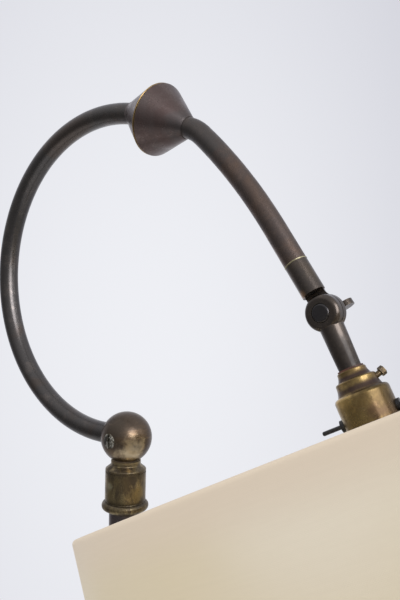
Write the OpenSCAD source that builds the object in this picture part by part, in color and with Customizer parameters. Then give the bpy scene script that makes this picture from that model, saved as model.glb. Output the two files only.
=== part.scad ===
// Reading floor lamp: weighted base, sliding pole, looped arm with a double cone swivel,
// tilting knuckle, bayonet lampholder with a push-bar switch, and a cream drum shade.
// Millimetres, +Z up, +X towards the shade, origin on the floor under the pole.

/* [Base] */
// Diameter of the base
base_d = 280; // [220:1:340]
// Height of the upright rim of the base
rim_h = 14; // [13:0.5:20]
// Rounding of the rim's top edge
rim_round = 4.5; // [2:0.5:6]
// Height of the base dome above the pad
dome_h = 44; // [36:1:70]
// Diameter of the flat seat on top of the dome
seat_d = 52; // [50:1:70]
// Wall of the spun base cover
shell_t = 1.2; // [0.8:0.1:2]
// Thickness of the felt pad
pad_t = 2; // [1:0.5:4]
// How far the pad stays inside the rim
pad_inset = 3; // [1:0.5:8]
// Outside diameter of the threaded nipple
nipple_d = 16; // [12:0.5:18]
// Bore of the nipple
nipple_bore = 10; // [6:0.5:11]
// Thickness of the nut under the weight
base_nut_h = 8; // [5:0.5:10]
// Outside diameter of the cord gland
gland_d = 9; // [7:0.5:10]
// Bore of the cord gland
gland_bore = 6.6; // [4:0.2:6.8]
// Length of the cord gland
gland_len = 12; // [8:0.5:20]

/* [Column] */
// Outside diameter of the fixed column
column_d = 25.4; // [22:0.1:32]
// Wall of the fixed column
column_wall = 1.3; // [0.8:0.1:1.6]
// Length of the fixed column
column_len = 660; // [500:1:800]
// Outside diameter of the socket that holds the column
socket_d = 33; // [32:0.5:44]
// Depth of the column in its socket
socket_depth = 32; // [15:1:60]
// Floor of the socket
socket_web = 10; // [5:0.5:20]
// Outside diameter of the clamp collar
clamp_d = 33; // [32:0.5:42]
// Length of the clamp collar over the column
clamp_grip = 20; // [10:0.5:40]
// Length of the clamp collar above the column
clamp_head = 26; // [22:0.5:40]
// Lip that keeps the guide bush in
clamp_lip = 2.5; // [1:0.5:4]
// Wall of the guide bush
bush_wall = 1.6; // [1:0.1:1.8]
// Diameter of the clamp screw
clamp_screw_d = 6; // [4:0.5:8]
// Diameter of the clamp screw's paddle
paddle_d = 20; // [12:0.5:30]
// Thickness of the clamp screw's paddle
paddle_t = 4; // [2:0.5:6]
// Outside diameter of the sliding pole
pole_d = 20; // [18:0.05:20.2]
// Wall of the sliding pole
pole_wall = 1.2; // [0.8:0.1:1.5]
// Pole that shows above the clamp collar
pole_out = 420; // [330:1:500]
// Pole inside the column
pole_in = 360; // [250:1:420]
// Length of the stop ring on the pole's foot
stop_len = 14; // [6:0.5:30]

/* [Ball and collar] */
// Diameter of the ball
ball_d = 32.2; // [30:0.1:34]
// Drop from the ball's middle to its flat
ball_flat = 13.5; // [12.8:0.1:14]
// Diameter of the plug in the ball's side
plug_d = 9.2; // [6:0.2:11]
// Thickness of the swivel washer
washer_t = 0.8; // [0.4:0.1:2]
// Diameter of the collar's neck
neck_d = 18.8; // [16:0.1:20]
// Height of the neck
neck_h = 2; // [1:0.1:8]
// Diameter of the collar
collar_d = 25.7; // [25:0.1:27]
// Height of the collar's straight part
collar_h = 20; // [14:0.1:30]
// Diameter of the bead at the collar's foot
bead_d = 29.6; // [28.6:0.1:32]
// Diameter of the swivel spindle
spindle_d = 10; // [8:0.1:10.4]
// Bore of the spindles for the flex
flex_bore = 5.2; // [4.8:0.1:6]
// Thickness of the spindle nut
spindle_nut_h = 5; // [3:0.1:6]

/* [Arm] */
// Outside diameter of the loop's tube
arm_d = 13.3; // [11:0.1:13.4]
// Outside diameter of the outer arm's tube
outer_d = 12.6; // [11:0.1:13.4]
// Wall of both arm tubes
arm_wall = 1.2; // [0.8:0.1:1.5]
// Radius of the loop at the tube's middle
loop_r = 102.8; // [85:0.1:130]
// How far behind the pole the loop's middle lies
loop_back = 21.7; // [19:0.1:40]
// Slope of the swivel axis below level
dip = 18.6; // [5:0.1:30]
// From the loop's end to the middle of the double cone
cone_off = 11.4; // [10.8:0.1:14]
// Diameter of the double cone
cone_d = 43.4; // [34:0.2:60]
// Diameter of the double cone's ends
cone_end_d = 14.4; // [13.8:0.1:18]
// Length of the double cone
cone_len = 47.6; // [42:0.2:70]
// Diameter of the spindle in the double cone
cone_spindle_d = 8; // [6.8:0.1:9]
// Radius of the first bend of the outer arm
bend_one_r = 26.5; // [15:0.5:60]
// Angle of the first bend
bend_one = 22.3; // [5:0.1:40]
// Radius of the second bend
bend_two_r = 318; // [150:1:500]
// Angle of the second bend
bend_two = 13.6; // [3:0.1:20]
// Straight tube between the double cone and the first bend
arm_lead = 1.6; // [0.5:0.1:10]
// Straight run after the bends
run_len = 22.2; // [5:0.1:80]
// Spigot of the knuckle inside the arm tube
arm_spigot = 12; // [6:0.5:18]

/* [Knuckle] */
// From the end of the arm tube to the pivot
ferrule_len = 30.6; // [22:0.1:50]
// Diameter of the round knuckle eyes
eye_d = 19.2; // [16:0.1:26]
// Thickness of one knuckle half
half_t = 5.75; // [4.5:0.05:6.5]
// Slit between the knuckle halves
slit = 0.6; // [0.5:0.05:1]
// Rounding of the eyes' outer edges
eye_round = 2.6; // [0.5:0.1:3]
// From the pivot to where the full rods begin
rod_start = 11.8; // [11.6:0.1:18]
// Diameter of the pivot screw
pivot_d = 5; // [3:0.1:6]
// Diameter of the pivot screw's head
pivot_head_d = 9.8; // [7:0.1:12]
// Lean of the lampholder from the upright
lean = 28; // [22:0.1:60]
// Diameter of the stub at the knuckle
stub_top_d = 12.4; // [11:0.1:13]
// Diameter of the stub at the lampholder
stub_end_d = 11.4; // [9.6:0.1:12]
// From the pivot to the lampholder
stub_len = 30.1; // [20:0.1:60]
// Span of the wing nut
wing_span = 22.5; // [20:0.5:40]
// Thickness of the wings
wing_t = 3; // [1.5:0.1:4]
// Turn of the wing nut about the pivot
wing_turn = 9; // [-20:1:180]

/* [Lampholder] */
// Thickness of the entry washer
entry_t = 0.8; // [0.4:0.1:2]
// Diameter of the entry washer
entry_d = 13.2; // [12:0.1:16]
// Diameter of the spigot in the lampholder's entry
entry_spigot_d = 8.4; // [7:0.1:9]
// Diameter at the foot of the cap's first step
step_one_d = 17.1; // [15:0.1:18]
// Height of the cap's first step
step_one_h = 4.4; // [3:0.1:8]
// Diameter at the foot of the cap's second step
step_two_d = 22.8; // [21:0.1:24]
// How far the steps flare out to their feet
step_flare = 1.2; // [0.2:0.1:1.6]
// Height of the cap's second step
step_two_h = 6.6; // [5:0.1:10]
// Diameter of the barrel
barrel_d = 27.8; // [27:0.1:34]
// Height of the barrel
barrel_h = 22.1; // [20:0.1:30]
// Wall of the cap and barrel
cap_wall = 1; // [0.6:0.1:1.4]
// From the barrel's shoulder to the push bar
bar_drop = 12.6; // [8:0.1:14]
// Diameter of the push bar
bar_d = 2.2; // [1.6:0.1:3.4]
// Push bar beyond the barrel where it stands out
bar_out = 12; // [8:0.1:20]
// Push bar beyond the barrel on the other side
bar_in = 4.4; // [3:0.1:6]
// Turn of the push bar about the lampholder
bar_turn = 12; // [-40:1:40]
// Diameter of the bar guides
guide_d = 6.2; // [4.6:0.1:7]
// How far the guides stand out
guide_out = 1.6; // [0.5:0.1:4]
// Turn of the small cap screw about the lampholder
cap_screw_turn = 38; // [0:1:90]
// Bore of the bayonet socket
socket_bore = 22.6; // [22.4:0.1:23]
// Wall of the bayonet socket
socket_wall = 1.1; // [0.8:0.1:1.3]
// From the flange to the socket's mouth
skirt_len = 27; // [22:0.5:40]
// Diameter of the flange that the shade sits on
flange_d = 32; // [30:0.5:40]
// Thickness of the flange
flange_t = 1.5; // [1:0.1:3]
// Height of the shade ring
ring_h = 6; // [3:0.5:12]
// Diameter of the shade ring
ring_d = 38; // [34:0.5:50]

/* [Shade] */
// Diameter at the top
shade_top_d = 298; // [200:1:320]
// Diameter at the bottom
shade_bottom_d = 330; // [310:1:420]
// Height of the shade
shade_h = 228; // [190:1:300]
// Thickness of the shade's skin
shade_t = 1.1; // [0.6:0.1:2]
// Diameter of the shade's wire rings
wire_d = 3; // [2:0.1:4]
// Drop of the fitter below the top ring
fitter_drop = 5.3; // [2:0.1:40]
// Number of spokes
spokes = 3; // [2:1:6]

/* [Bulb] */
// Diameter of the bulb cap
bulb_cap_d = 22; // [21:0.1:22.2]
// Length of the bulb cap
bulb_cap_len = 25; // [20:0.5:30]
// Diameter of the bulb
bulb_d = 60; // [45:1:80]
// Wall of the bulb
glass_t = 0.8; // [0.5:0.1:1.2]

/* [Fits] */
// Radial clearance of seated pieces
fit = 0.05; // [0.02:0.01:0.1]
// Radial clearance of running fits
run = 0.06; // [0.02:0.01:0.1]
// Gap between faces that move past each other
gap = 0.3; // [0.2:0.05:0.5]
// Gap at a face that rubs
rub = 0.05; // [0.02:0.01:0.1]
// Diameter of the flex inside the tubes
flex_d = 4.6; // [3:0.1:4.6]

/* [Hidden] */
$fn = 72;

// How far a cut runs past the face it opens
cut = 1;

// Base levels and radii
base_r = base_d / 2;
nipple_r = nipple_d / 2;
seat_z = pad_t + dome_h;
column_z = seat_z + socket_web;
gland_z = pad_t + rim_h / 2 - 0.5;
gland_flange = 1.5;
step_in = 8;
step_up = 2.5;
weight_room = 0.6;
nut_recess = base_nut_h + 6;
nut_plate = 2;
nut_plate_r = nipple_r + 8;
nut_flats = nipple_d + 8;

// Column levels and radii
column_r = column_d / 2;
column_in_r = column_r - column_wall;
column_top = column_z + column_len;
clamp_top = column_top + clamp_head;
clamp_r = clamp_d / 2;
pole_r = pole_d / 2;
pole_foot = column_top - pole_in;
bush_in_r = pole_r + run;
bush_r = bush_in_r + bush_wall;
bush_len = clamp_head - clamp_lip;
clamp_screw_z = column_top + bush_len / 2;
clamp_screw_r = clamp_screw_d / 2;
boss_r = clamp_screw_r + 3.5;
boss_end = clamp_r + 7;

// Ball and collar levels, measured from the ball's middle
ball_r = ball_d / 2;
neck_r = neck_d / 2;
collar_r = collar_d / 2;
bead_r = bead_d / 2;
spindle_r = spindle_d / 2;
flex_r = flex_d / 2;
bore_r = flex_bore / 2;
neck_top = ball_flat + washer_t + rub;
neck_foot = neck_top + neck_h;
flare_r = 1.1;
flare_turn = 52;
flare_line = (collar_r - neck_r - 2 * flare_r * (1 - cos(flare_turn))) / sin(flare_turn);
shoulder = neck_foot + 2 * flare_r * sin(flare_turn) + flare_line * cos(flare_turn);
collar_foot = shoulder + collar_h;
bead_h = 6.8;
bead_round = 2.8;
crease = 0.55;
pole_ball = collar_foot + bead_h;
groove_drop = 0.6;
groove_w = 0.6;
groove_deep = 0.35;
collar_web = 10.6;
nut_room_top = neck_top + collar_web;
nut_room_r = collar_r - 3.6;
spring_t = 1.2;
nut_top = nut_room_top + gap + spring_t;
nut_foot = nut_top + spindle_nut_h;
spindle_foot = nut_foot + 0.8;
pole_top = spindle_foot + 1.8;
ball_z = clamp_top + pole_out + pole_ball;
cavity_r = 6.8;
plug_back = ball_r - 6.4;
slot_w = 1.2;
slot_deep = 1.4;
tube_end = 5.5;
spindle_top = arm_d / 2 + fit + 0.2;

// Arm tube and double cone
arm_r = arm_d / 2;
arm_in_r = arm_r - arm_wall;
outer_r = outer_d / 2;
outer_in_r = outer_r - arm_wall;
cone_r = cone_d / 2;
cone_end_r = cone_end_d / 2;
cone_half = cone_len / 2;
loop_end = [-loop_back + loop_r * sin(dip), loop_r + loop_r * cos(dip)];
cone_at = [loop_end[0] + cone_off * cos(dip), ball_z + loop_end[1] - cone_off * sin(dip)];
cone_spindle_r = cone_spindle_d / 2;
cone_lip = 0.5;
cone_tip = 0.25;
cone_tip_h = 0.9;
cone_slit = 0.25;
cone_web = 4.3;
cone_room_r = 9;
cone_nut_t = 4.2;
cone_plate_t = 0.4;
cone_nut_top = cone_web + gap + cone_plate_t;
cone_spindle_back = cone_nut_top + cone_nut_t + 0.5;
cone_seat = 9;
hair = 0.02;
lap = 0.3;

// Knuckle
eye_r = eye_d / 2;
pivot_r = pivot_d / 2;
pivot_head_r = pivot_head_d / 2;
head_sunk = 1.5;
head_proud = 0.5;
head_round = 1.2;
arm_slope = dip + bend_one + bend_two;
eye_blend = 6;
eye_room = 0.4;
stub_start = eye_r - eye_round + 0.5;
stub_start_d = stub_top_d + (stub_top_d - stub_end_d) * (rod_start - stub_start) / (stub_len - rod_start);
neck_rod_r = half_t - 0.05;
wing_hub_r = pivot_r + 2.8;
wing_hub_h = 6;
wing_face = half_t + gap;

// Pivot of the knuckle, from the swivel through both bends
bend_one_end = [cone_half + arm_lead + bend_one_r * sin(bend_one), bend_one_r * (1 - cos(bend_one))];
bend_two_step = [bend_two_r * sin(bend_two), bend_two_r * (1 - cos(bend_two))];
bend_two_end = bend_one_end + [
    bend_two_step[0] * cos(bend_one) - bend_two_step[1] * sin(bend_one),
    bend_two_step[0] * sin(bend_one) + bend_two_step[1] * cos(bend_one)
];
straight = run_len + ferrule_len;
pivot_along = bend_two_end[0] + straight * cos(bend_one + bend_two);
pivot_down = bend_two_end[1] + straight * sin(bend_one + bend_two);
pivot_x = cone_at[0] + pivot_along * cos(dip) - pivot_down * sin(dip);
pivot_z = cone_at[1] - pivot_along * sin(dip) - pivot_down * cos(dip);

// Lampholder distances below the pivot, along its own axis
cap_top = stub_len + entry_t;
step_one_r = step_one_d / 2;
step_two_r = step_two_d / 2;
step_one_foot = cap_top + step_one_h;
step_two_foot = step_one_foot + step_two_h;
barrel_r = barrel_d / 2;
barrel_in_r = barrel_r - cap_wall;
barrel_foot = step_two_foot + barrel_h;
entry_r = entry_spigot_d / 2;
entry_deep = 5.4;
bar_s = step_two_foot + bar_drop;
bar_r = bar_d / 2;
guide_r = guide_d / 2;
step_edge = 0.6;
step_two_edge = 0.9;
step_ledge = 0.25;
step_two_top = step_one_foot + step_ledge + step_two_edge;
barrel_round = 2.2;
barrel_top = step_two_foot + step_ledge + barrel_round;
cap_screw_s = step_one_foot + 2.5;
cap_screw_at = step_two_r - step_flare + 0.1;
cap_screw_r = 1.5;
cap_screw_deep = 1.2;
cap_screw_tilt = 72;
cap_screw_out = 2.6;
cap_screw_head_d = 5;
cap_screw_head_h = 2.4;
switch_top = step_two_foot + 3.6;
skirt_top = bar_s + 2.6;
socket_r = socket_bore / 2;
socket_out_r = socket_r + socket_wall;
thread_r = barrel_in_r + 0.7;
flange_foot = barrel_foot + flange_t;
spider_t = 2;
spider_s = flange_foot + spider_t / 2;
ring_top = flange_foot + spider_t;
thread_foot = ring_top + ring_h + 2.5;
skirt_foot = flange_foot + skirt_len;
core_top = skirt_top + 0.6;
core_foot = flange_foot + 6;
contact_s = core_foot + 3.4;
plunger_r = 2;
plunger_at = 5;
plunger_len = 9;

// Shade
wire_r = wire_d / 2;
top_wire_s = spider_s - fitter_drop;
shade_top_s = top_wire_s - wire_r - shade_t;
shade_slope = (shade_bottom_d - shade_top_d) / 2 / shade_h;
top_wire_r = shade_top_d / 2 - shade_t - wire_r - fit;
bottom_wire_r = shade_bottom_d / 2 - shade_t - wire_r - 2 * fit - 2 * wire_r * shade_slope;

// Bulb
bulb_r = bulb_d / 2;
bulb_cap_r = bulb_cap_d / 2;
bulb_pin_r = 1.1;
bulb_pin_s = contact_s + 6.6;
bulb_cap_foot = contact_s + bulb_cap_len;
bulb_neck_r = bulb_cap_r - 0.8;
bulb_flare = 35;
bulb_fall = sqrt(pow(bulb_r + bulb_flare, 2) - pow(bulb_neck_r + bulb_flare, 2));
bulb_mid = bulb_cap_foot + bulb_fall + 1;

// Colours
BRONZE = "#4a3f36";
BRASS = "#8a6f3c";
FIBRE = "#4b2b25";
BLACK = "#15151a";
STEEL = "#8d8f92";
CREAM = "#d9ccb4";

// Points of an arc
function arc(x, y, r, from, to, n = 12) =
    [for (i = [0:n]) let (a = from + (to - from) * i / n) [x + r * cos(a), y + r * sin(a)]];

// Turns a list of [radius, distance down] into [radius, height]
function down(points) = [for (p = points) [p[0], -p[1]]];

// Outline of the base cover moved in by a wall
function dome_line(in) = let (
    edge = base_r - rim_round - step_in - in,
    low = rim_h + step_up - in,
    high = dome_h - in,
    seat = seat_d / 2,
    round = rim_round - in
) concat(
    [for (i = [0:24]) let (t = i / 24)
        [seat + (edge - seat) * t, (high + low + (high - low) * cos(180 * t)) / 2]],
    [[edge + step_up / 2, rim_h - in]],
    arc(base_r - rim_round, rim_h - rim_round, max(round, 0.2), 90, 0, 8)
);

// Frames
module at_ball() { translate([0, 0, ball_z]) children(); }
module at_cone() { translate([cone_at[0], 0, cone_at[1]]) rotate([0, 90 + dip, 0]) children(); }
module at_upper() { translate([pivot_x, 0, pivot_z]) rotate([0, arm_slope - 90, 0]) children(); }
module at_head() { translate([pivot_x, 0, pivot_z]) rotate([0, -lean, 0]) children(); }
module at_s(s) { translate([0, 0, -s]) children(); }

// Shapes that repeat
module tube(r, in_r, h) { linear_extrude(h) ring(r, in_r); }
module ring(r, in_r) {
    difference() {
        circle(r);
        circle(in_r);
    }
}
module along_y(r, from, to) { translate([0, from, 0]) rotate([-90, 0, 0]) cylinder(r = r, h = to - from); }
module hex_nut(flats, bore, h) {
    difference() {
        cylinder(d = flats / cos(30), h = h, $fn = 6);
        translate([0, 0, -1]) cylinder(r = bore, h = h + 2);
    }
}

// Round rod along a bend that starts at the origin along +Z and turns to +X, longer by a lap at both ends
module bend(bend_r, angle, r, lapped = 0) {
    more = lapped / bend_r * 180 / PI;
    translate([bend_r, 0, 0]) rotate([90, 0, 180]) rotate([0, 0, -more])
        rotate_extrude(angle = angle + 2 * more) translate([bend_r, 0]) circle(r);
}
module after_bend(r, angle) {
    translate([r * (1 - cos(angle)), 0, r * sin(angle)]) rotate([0, angle, 0]) children();
}
module loop_sweep(r, past = 0) {
    translate([-loop_back, 0, loop_r]) rotate([90, 0, 0]) rotate([0, 0, 90 - dip - past])
        rotate_extrude(angle = 180 + dip + past) translate([loop_r, 0]) circle(r);
}

// Round rod along the loop, from a distance before the ball's middle.
// past is in degrees beyond the loop's end.
module loop_route(r, to_ball, past = 0) {
    at_ball() {
        translate([-loop_back - lap, 0, 0]) rotate([0, 90, 0])
            cylinder(r = r + hair, h = loop_back + lap - to_ball);
        loop_sweep(r, past);
    }
}

// Round rod along the outer arm, from a distance past the middle of the double cone
// to one before the pivot.
// Neighbouring runs differ by a hair in radius and lap into each other, so that no two faces coincide.
module outer_route(from, to_pivot, r) {
    at_cone() {
        translate([0, 0, from]) cylinder(r = r, h = cone_half + arm_lead - from + lap);
        translate([0, 0, cone_half + arm_lead]) {
            bend(bend_one_r, bend_one, r + hair);
            after_bend(bend_one_r, bend_one) {
                bend(bend_two_r, bend_two, r, lap);
                after_bend(bend_two_r, bend_two) cylinder(r = r + hair, h = straight - to_pivot);
            }
        }
    }
}

// Foot
module base_pad() { color("#20301f") cylinder(r = base_r - pad_inset, h = pad_t); }

module base_shell() {
    color(BRONZE) translate([0, 0, pad_t]) difference() {
        rotate_extrude() polygon(concat(
            [[nipple_r + fit, dome_h - shell_t], [nipple_r + fit, dome_h]],
            dome_line(0),
            [[base_r, 0], [base_r - shell_t, 0]],
            [for (i = [len(dome_line(0)) - 1:-1:0]) dome_line(shell_t)[i]]
        ));
        gland_hole();
    }
}

module gland_hole() {
    translate([-base_r - 1, 0, gland_z - pad_t]) rotate([0, 90, 0])
        cylinder(d = gland_d + 2 * fit, h = gland_len);
}

module base_weight() {
    inside = shell_t + weight_room;
    color("#2b2b2b") translate([0, 0, pad_t]) difference() {
        rotate_extrude() polygon(concat(
            [[nipple_r + fit, 0], [nipple_r + fit, dome_h - inside]],
            dome_line(inside),
            [[base_r - inside, 0]]
        ));
        translate([0, 0, -1]) cylinder(r = nut_plate_r + 1, h = nut_recess + 1);
        translate([-base_r, -gland_d / 2 - 1, -1]) cube([base_r, gland_d + 2, rim_h]);
    }
}

module base_nipple() {
    color(STEEL) translate([0, 0, pad_t + 2]) tube(nipple_r, nipple_bore / 2, column_z - pad_t - 2);
}

module base_nut() {
    nut_z = pad_t + nut_recess - nut_plate - base_nut_h;
    color(STEEL) {
        translate([0, 0, nut_z]) hex_nut(nut_flats, nipple_r + fit, base_nut_h);
        translate([0, 0, nut_z + base_nut_h]) tube(nut_plate_r, nipple_r + fit, nut_plate);
    }
}

module cord_gland() {
    color(BLACK) translate([-base_r, 0, gland_z]) rotate([0, 90, 0]) {
        translate([0, 0, -gland_flange]) tube(gland_d / 2 + 1.5, gland_bore / 2, gland_flange);
        tube(gland_d / 2, gland_bore / 2, gland_len - gland_flange);
    }
}

// Column
module column_socket() {
    socket_r_out = socket_d / 2;
    top = socket_web + socket_depth;
    foot_r = seat_d / 2 - 1;
    cove = min(7, foot_r - socket_r_out - 1);
    color(BRONZE) translate([0, 0, seat_z]) rotate_extrude() polygon(concat(
        [[nipple_r + fit, 0], [foot_r - 1.5, 0]],
        arc(foot_r - 1.5, 1.5, 1.5, -90, 90, 10),
        arc(socket_r_out + cove, 3 + cove, cove, 270, 180, 10),
        [[socket_r_out, top - 6]],
        arc(socket_r_out, top - 3.4, 1.6, -90, 90, 10),
        [[socket_r_out, top - 1], [socket_r_out - 1, top]],
        [[column_r + fit, top], [column_r + fit, socket_web], [nipple_r + fit, socket_web]]
    ));
}

module outer_column() { color(BRONZE) translate([0, 0, column_z]) tube(column_r, column_in_r, column_len); }

module clamp_collar() {
    color(BRONZE) difference() {
        union() {
            translate([0, 0, column_top]) rotate_extrude() polygon(concat(
                [[0, -clamp_grip], [clamp_r - 1.5, -clamp_grip]],
                arc(clamp_r - 1.5, 2.5 - clamp_grip, 2.5, -90, 90, 10),
                [[clamp_r, 6 - clamp_grip], [clamp_r, clamp_head - 4]],
                arc(clamp_r - 4, clamp_head - 4, 4, 0, 90, 10),
                [[0, clamp_head]]
            ));
            translate([0, 0, clamp_screw_z]) along_y(boss_r, -boss_end, 0);
        }
        translate([0, 0, column_top - clamp_grip - 1]) cylinder(r = column_r + fit, h = clamp_grip + 1);
        translate([0, 0, column_top - 1]) cylinder(r = bush_r + fit, h = bush_len + 1);
        translate([0, 0, column_top]) cylinder(r = pole_r + gap, h = clamp_head + 1);
        translate([0, 0, clamp_screw_z]) along_y(clamp_screw_r + run, -boss_end - 1, 0);
    }
}

module guide_bush() {
    color(FIBRE) difference() {
        translate([0, 0, column_top]) tube(bush_r, bush_in_r, bush_len);
        translate([0, 0, clamp_screw_z]) along_y(clamp_screw_r + gap, -boss_end, 0);
    }
}

module clamp_screw() {
    shoulder_end = boss_end + 0.4 + 5;
    color(BRASS) translate([0, 0, clamp_screw_z]) {
        along_y(clamp_screw_r, -shoulder_end, -pole_r - gap);
        along_y(clamp_screw_r + 2, -shoulder_end, -boss_end - 0.4);
        translate([-paddle_t / 2, -shoulder_end - paddle_d / 2 + 2, 0]) rotate([0, 90, 0])
            cylinder(d = paddle_d, h = paddle_t);
    }
}

module inner_pole() {
    pole_len = ball_z - pole_top - pole_foot;
    color(BRONZE) translate([0, 0, pole_foot]) tube(pole_r, pole_r - pole_wall, pole_len);
}

module pole_stop() {
    color(BRASS) translate([0, 0, pole_foot]) tube(column_in_r - run, pole_r + fit, stop_len);
}

module top_collar() {
    turned = concat(
        [[neck_r, neck_top]],
        [for (p = arc(neck_r + flare_r, -neck_foot, flare_r, 180, 180 + flare_turn)) [p[0], -p[1]]],
        [for (p = arc(collar_r - flare_r, -shoulder, flare_r, flare_turn, 0)) [p[0], -p[1]]],
        [for (d = [0, groove_w]) each [
            [collar_r - (d > 0 ? groove_deep : 0), shoulder + groove_drop + d],
            [collar_r - (d > 0 ? 0 : groove_deep), shoulder + groove_drop + d]
        ]],
        [[collar_r, collar_foot - 1.5 * crease], [collar_r - crease, collar_foot - crease / 2]],
        [for (p = arc(bead_r - bead_round, -collar_foot - bead_round, bead_round, 80, -50)) [p[0], -p[1]]],
        [[pole_r + 0.7, pole_ball], [pole_r + fit, pole_ball]],
        [[pole_r + fit, pole_top], [nut_room_r, pole_top]],
        [[nut_room_r, nut_room_top], [spindle_r + run, nut_room_top], [spindle_r + run, neck_top]]
    );
    color(BRASS) at_ball() rotate_extrude() polygon(down(turned));
}

module swivel_washer() {
    color(FIBRE) at_ball() at_s(neck_top) tube(neck_r - 0.5, spindle_r + run, washer_t);
}

module flex_pole() {
    flex_len = ball_z - spindle_foot - gap - pole_foot;
    color(BLACK) translate([0, 0, pole_foot]) cylinder(r = flex_r, h = flex_len);
}

// Loop arm
module arm_ball() {
    color(BRASS) at_ball() difference() {
        sphere(ball_r);
        at_s(ball_r + 10 + ball_flat) cylinder(r = ball_r, h = ball_r + 10);
        sphere(cavity_r);
        at_s(ball_r) cylinder(r = spindle_r + fit, h = ball_r - spindle_top + 0.1);
        at_s(ball_r) cylinder(r = bore_r, h = ball_r);
        translate([-ball_r - 1, 0, 0]) rotate([0, 90, 0])
            cylinder(r = arm_r + fit, h = ball_r + 1 - tube_end);
        along_y(plug_d / 2 + fit, -ball_r - cut, -plug_back);
    }
}

module ball_plug() {
    color(BRASS) at_ball() difference() {
        intersection() {
            sphere(ball_r);
            along_y(plug_d / 2, -ball_r, -plug_back - fit);
        }
        translate([-slot_w / 2, -ball_r - cut, -plug_d]) cube([slot_w, slot_deep + cut, 2 * plug_d]);
    }
}

module swivel_spindle() {
    color(STEEL) at_ball() at_s(spindle_foot) tube(spindle_r, bore_r, spindle_foot - spindle_top);
}

module spindle_nut() {
    color(STEEL) at_ball() {
        at_s(nut_foot) hex_nut(spindle_d + 3.2, spindle_r + fit, spindle_nut_h);
        at_s(nut_top) tube(spindle_r + 2.6, spindle_r + fit, spring_t);
    }
}

module loop_arm() {
    color(BRONZE) difference() {
        loop_route(arm_r, tube_end);
        loop_route(arm_in_r, tube_end - cut, 1);
    }
}

module flex_loop() {
    turn = tube_end + 0.5;
    color(BLACK) {
        loop_route(flex_r, turn - lap);
        at_ball() {
            at_s(turn) rotate([0, 0, 180]) bend(turn, 90, flex_r);
            at_s(spindle_foot) cylinder(r = flex_r + hair, h = spindle_foot - turn + lap);
        }
        at_cone() translate([0, 0, -cone_off - lap]) cylinder(r = flex_r + hair, h = cone_off + lap - gap);
    }
}

// Half of the double cone, with its small end, at a negative height, drawn in to the tube
module cone_body(tube_r) {
    rotate_extrude() polygon([
        [0, -cone_half], [tube_r + cone_tip, -cone_half], [cone_end_r, cone_tip_h - cone_half],
        [cone_r, -cone_slit - cone_lip], [cone_r, -cone_slit - 0.2],
        [cone_r - 0.2, -cone_slit], [0, -cone_slit]
    ]);
}

module inner_cone() {
    color(BRONZE) difference() {
        at_cone() cone_body(arm_r);
        at_ball() loop_sweep(arm_r + fit);
        at_cone() {
            translate([0, 0, -cone_off - fit]) cylinder(r = cone_room_r, h = cone_off + fit - cone_web);
            translate([0, 0, -cone_off]) cylinder(r = cone_spindle_r + run, h = cone_off + 1);
        }
    }
}

module outer_cone() {
    color(BRONZE) at_cone() difference() {
        mirror([0, 0, 1]) cone_body(outer_r);
        cylinder(r = cone_spindle_r + fit, h = cone_half);
        translate([0, 0, cone_seat]) cylinder(r = outer_r + fit, h = cone_half);
    }
}

module cone_spindle() {
    color(STEEL) at_cone() translate([0, 0, -cone_spindle_back])
        tube(cone_spindle_r, bore_r, cone_spindle_back + cone_seat - 0.3);
}

module cone_nut() {
    color(STEEL) at_cone() {
        translate([0, 0, -cone_nut_top - cone_nut_t])
            hex_nut(cone_spindle_d + 4, cone_spindle_r + fit, cone_nut_t);
        translate([0, 0, -cone_nut_top]) tube(cone_spindle_r + 3.6, cone_spindle_r + fit, cone_plate_t);
    }
}

module cone_washer() {
    color(FIBRE) at_cone() translate([0, 0, rub - cone_slit])
        tube(cone_r - 1.5, cone_spindle_r + fit, 2 * cone_slit - rub);
}

// Outer arm
module outer_tube() {
    color(BRONZE) difference() {
        outer_route(cone_seat + fit, ferrule_len, outer_r);
        outer_route(cone_seat - 1, ferrule_len - 1, outer_in_r);
    }
}

module flex_outer() { color(BLACK) outer_route(gap, rod_start + 0.4, flex_r); }

// One half of the knuckle with its rod pointing down: face is -1 for the near half, +1 for the far one.
// A turned eye, and a rod that flares out to meet it.
module knuckle_half(face) {
    blend_x = neck_rod_r + eye_blend;
    blend_z = sqrt(pow(eye_r + eye_blend, 2) - blend_x * blend_x);
    rotate([face > 0 ? -90 : 90, 0, 0]) rotate_extrude() polygon(concat(
        [[0, slit / 2], [eye_r, slit / 2]],
        arc(eye_r - eye_round, half_t - eye_round, eye_round, 0, 90, 10),
        [[0, half_t]]
    ));
    intersection() {
        rotate_extrude() polygon(concat(
            [[0, -rod_start], [neck_rod_r, -rod_start]],
            arc(blend_x, -blend_z, eye_blend, 180, 180 - atan2(blend_z, blend_x), 12),
            [[0, 0]]
        ));
        translate([-eye_d, face > 0 ? slit / 2 : -neck_rod_r, -eye_d])
            cube([2 * eye_d, neck_rod_r - slit / 2, eye_d]);
    }
}

module knuckle_upper() {
    color(BRONZE) at_upper() difference() {
        rotate([180, 0, 180]) difference() {
            union() {
                knuckle_half(1);
                at_s(ferrule_len) cylinder(r = outer_r, h = ferrule_len - rod_start);
                at_s(ferrule_len + arm_spigot) cylinder(r = outer_in_r - fit, h = arm_spigot + 1);
            }
            at_s(ferrule_len + arm_spigot + cut)
                cylinder(r = bore_r, h = ferrule_len + arm_spigot + cut - rod_start);
        }
        along_y(pivot_r + run, -eye_r, eye_r);
    }
}

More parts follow.
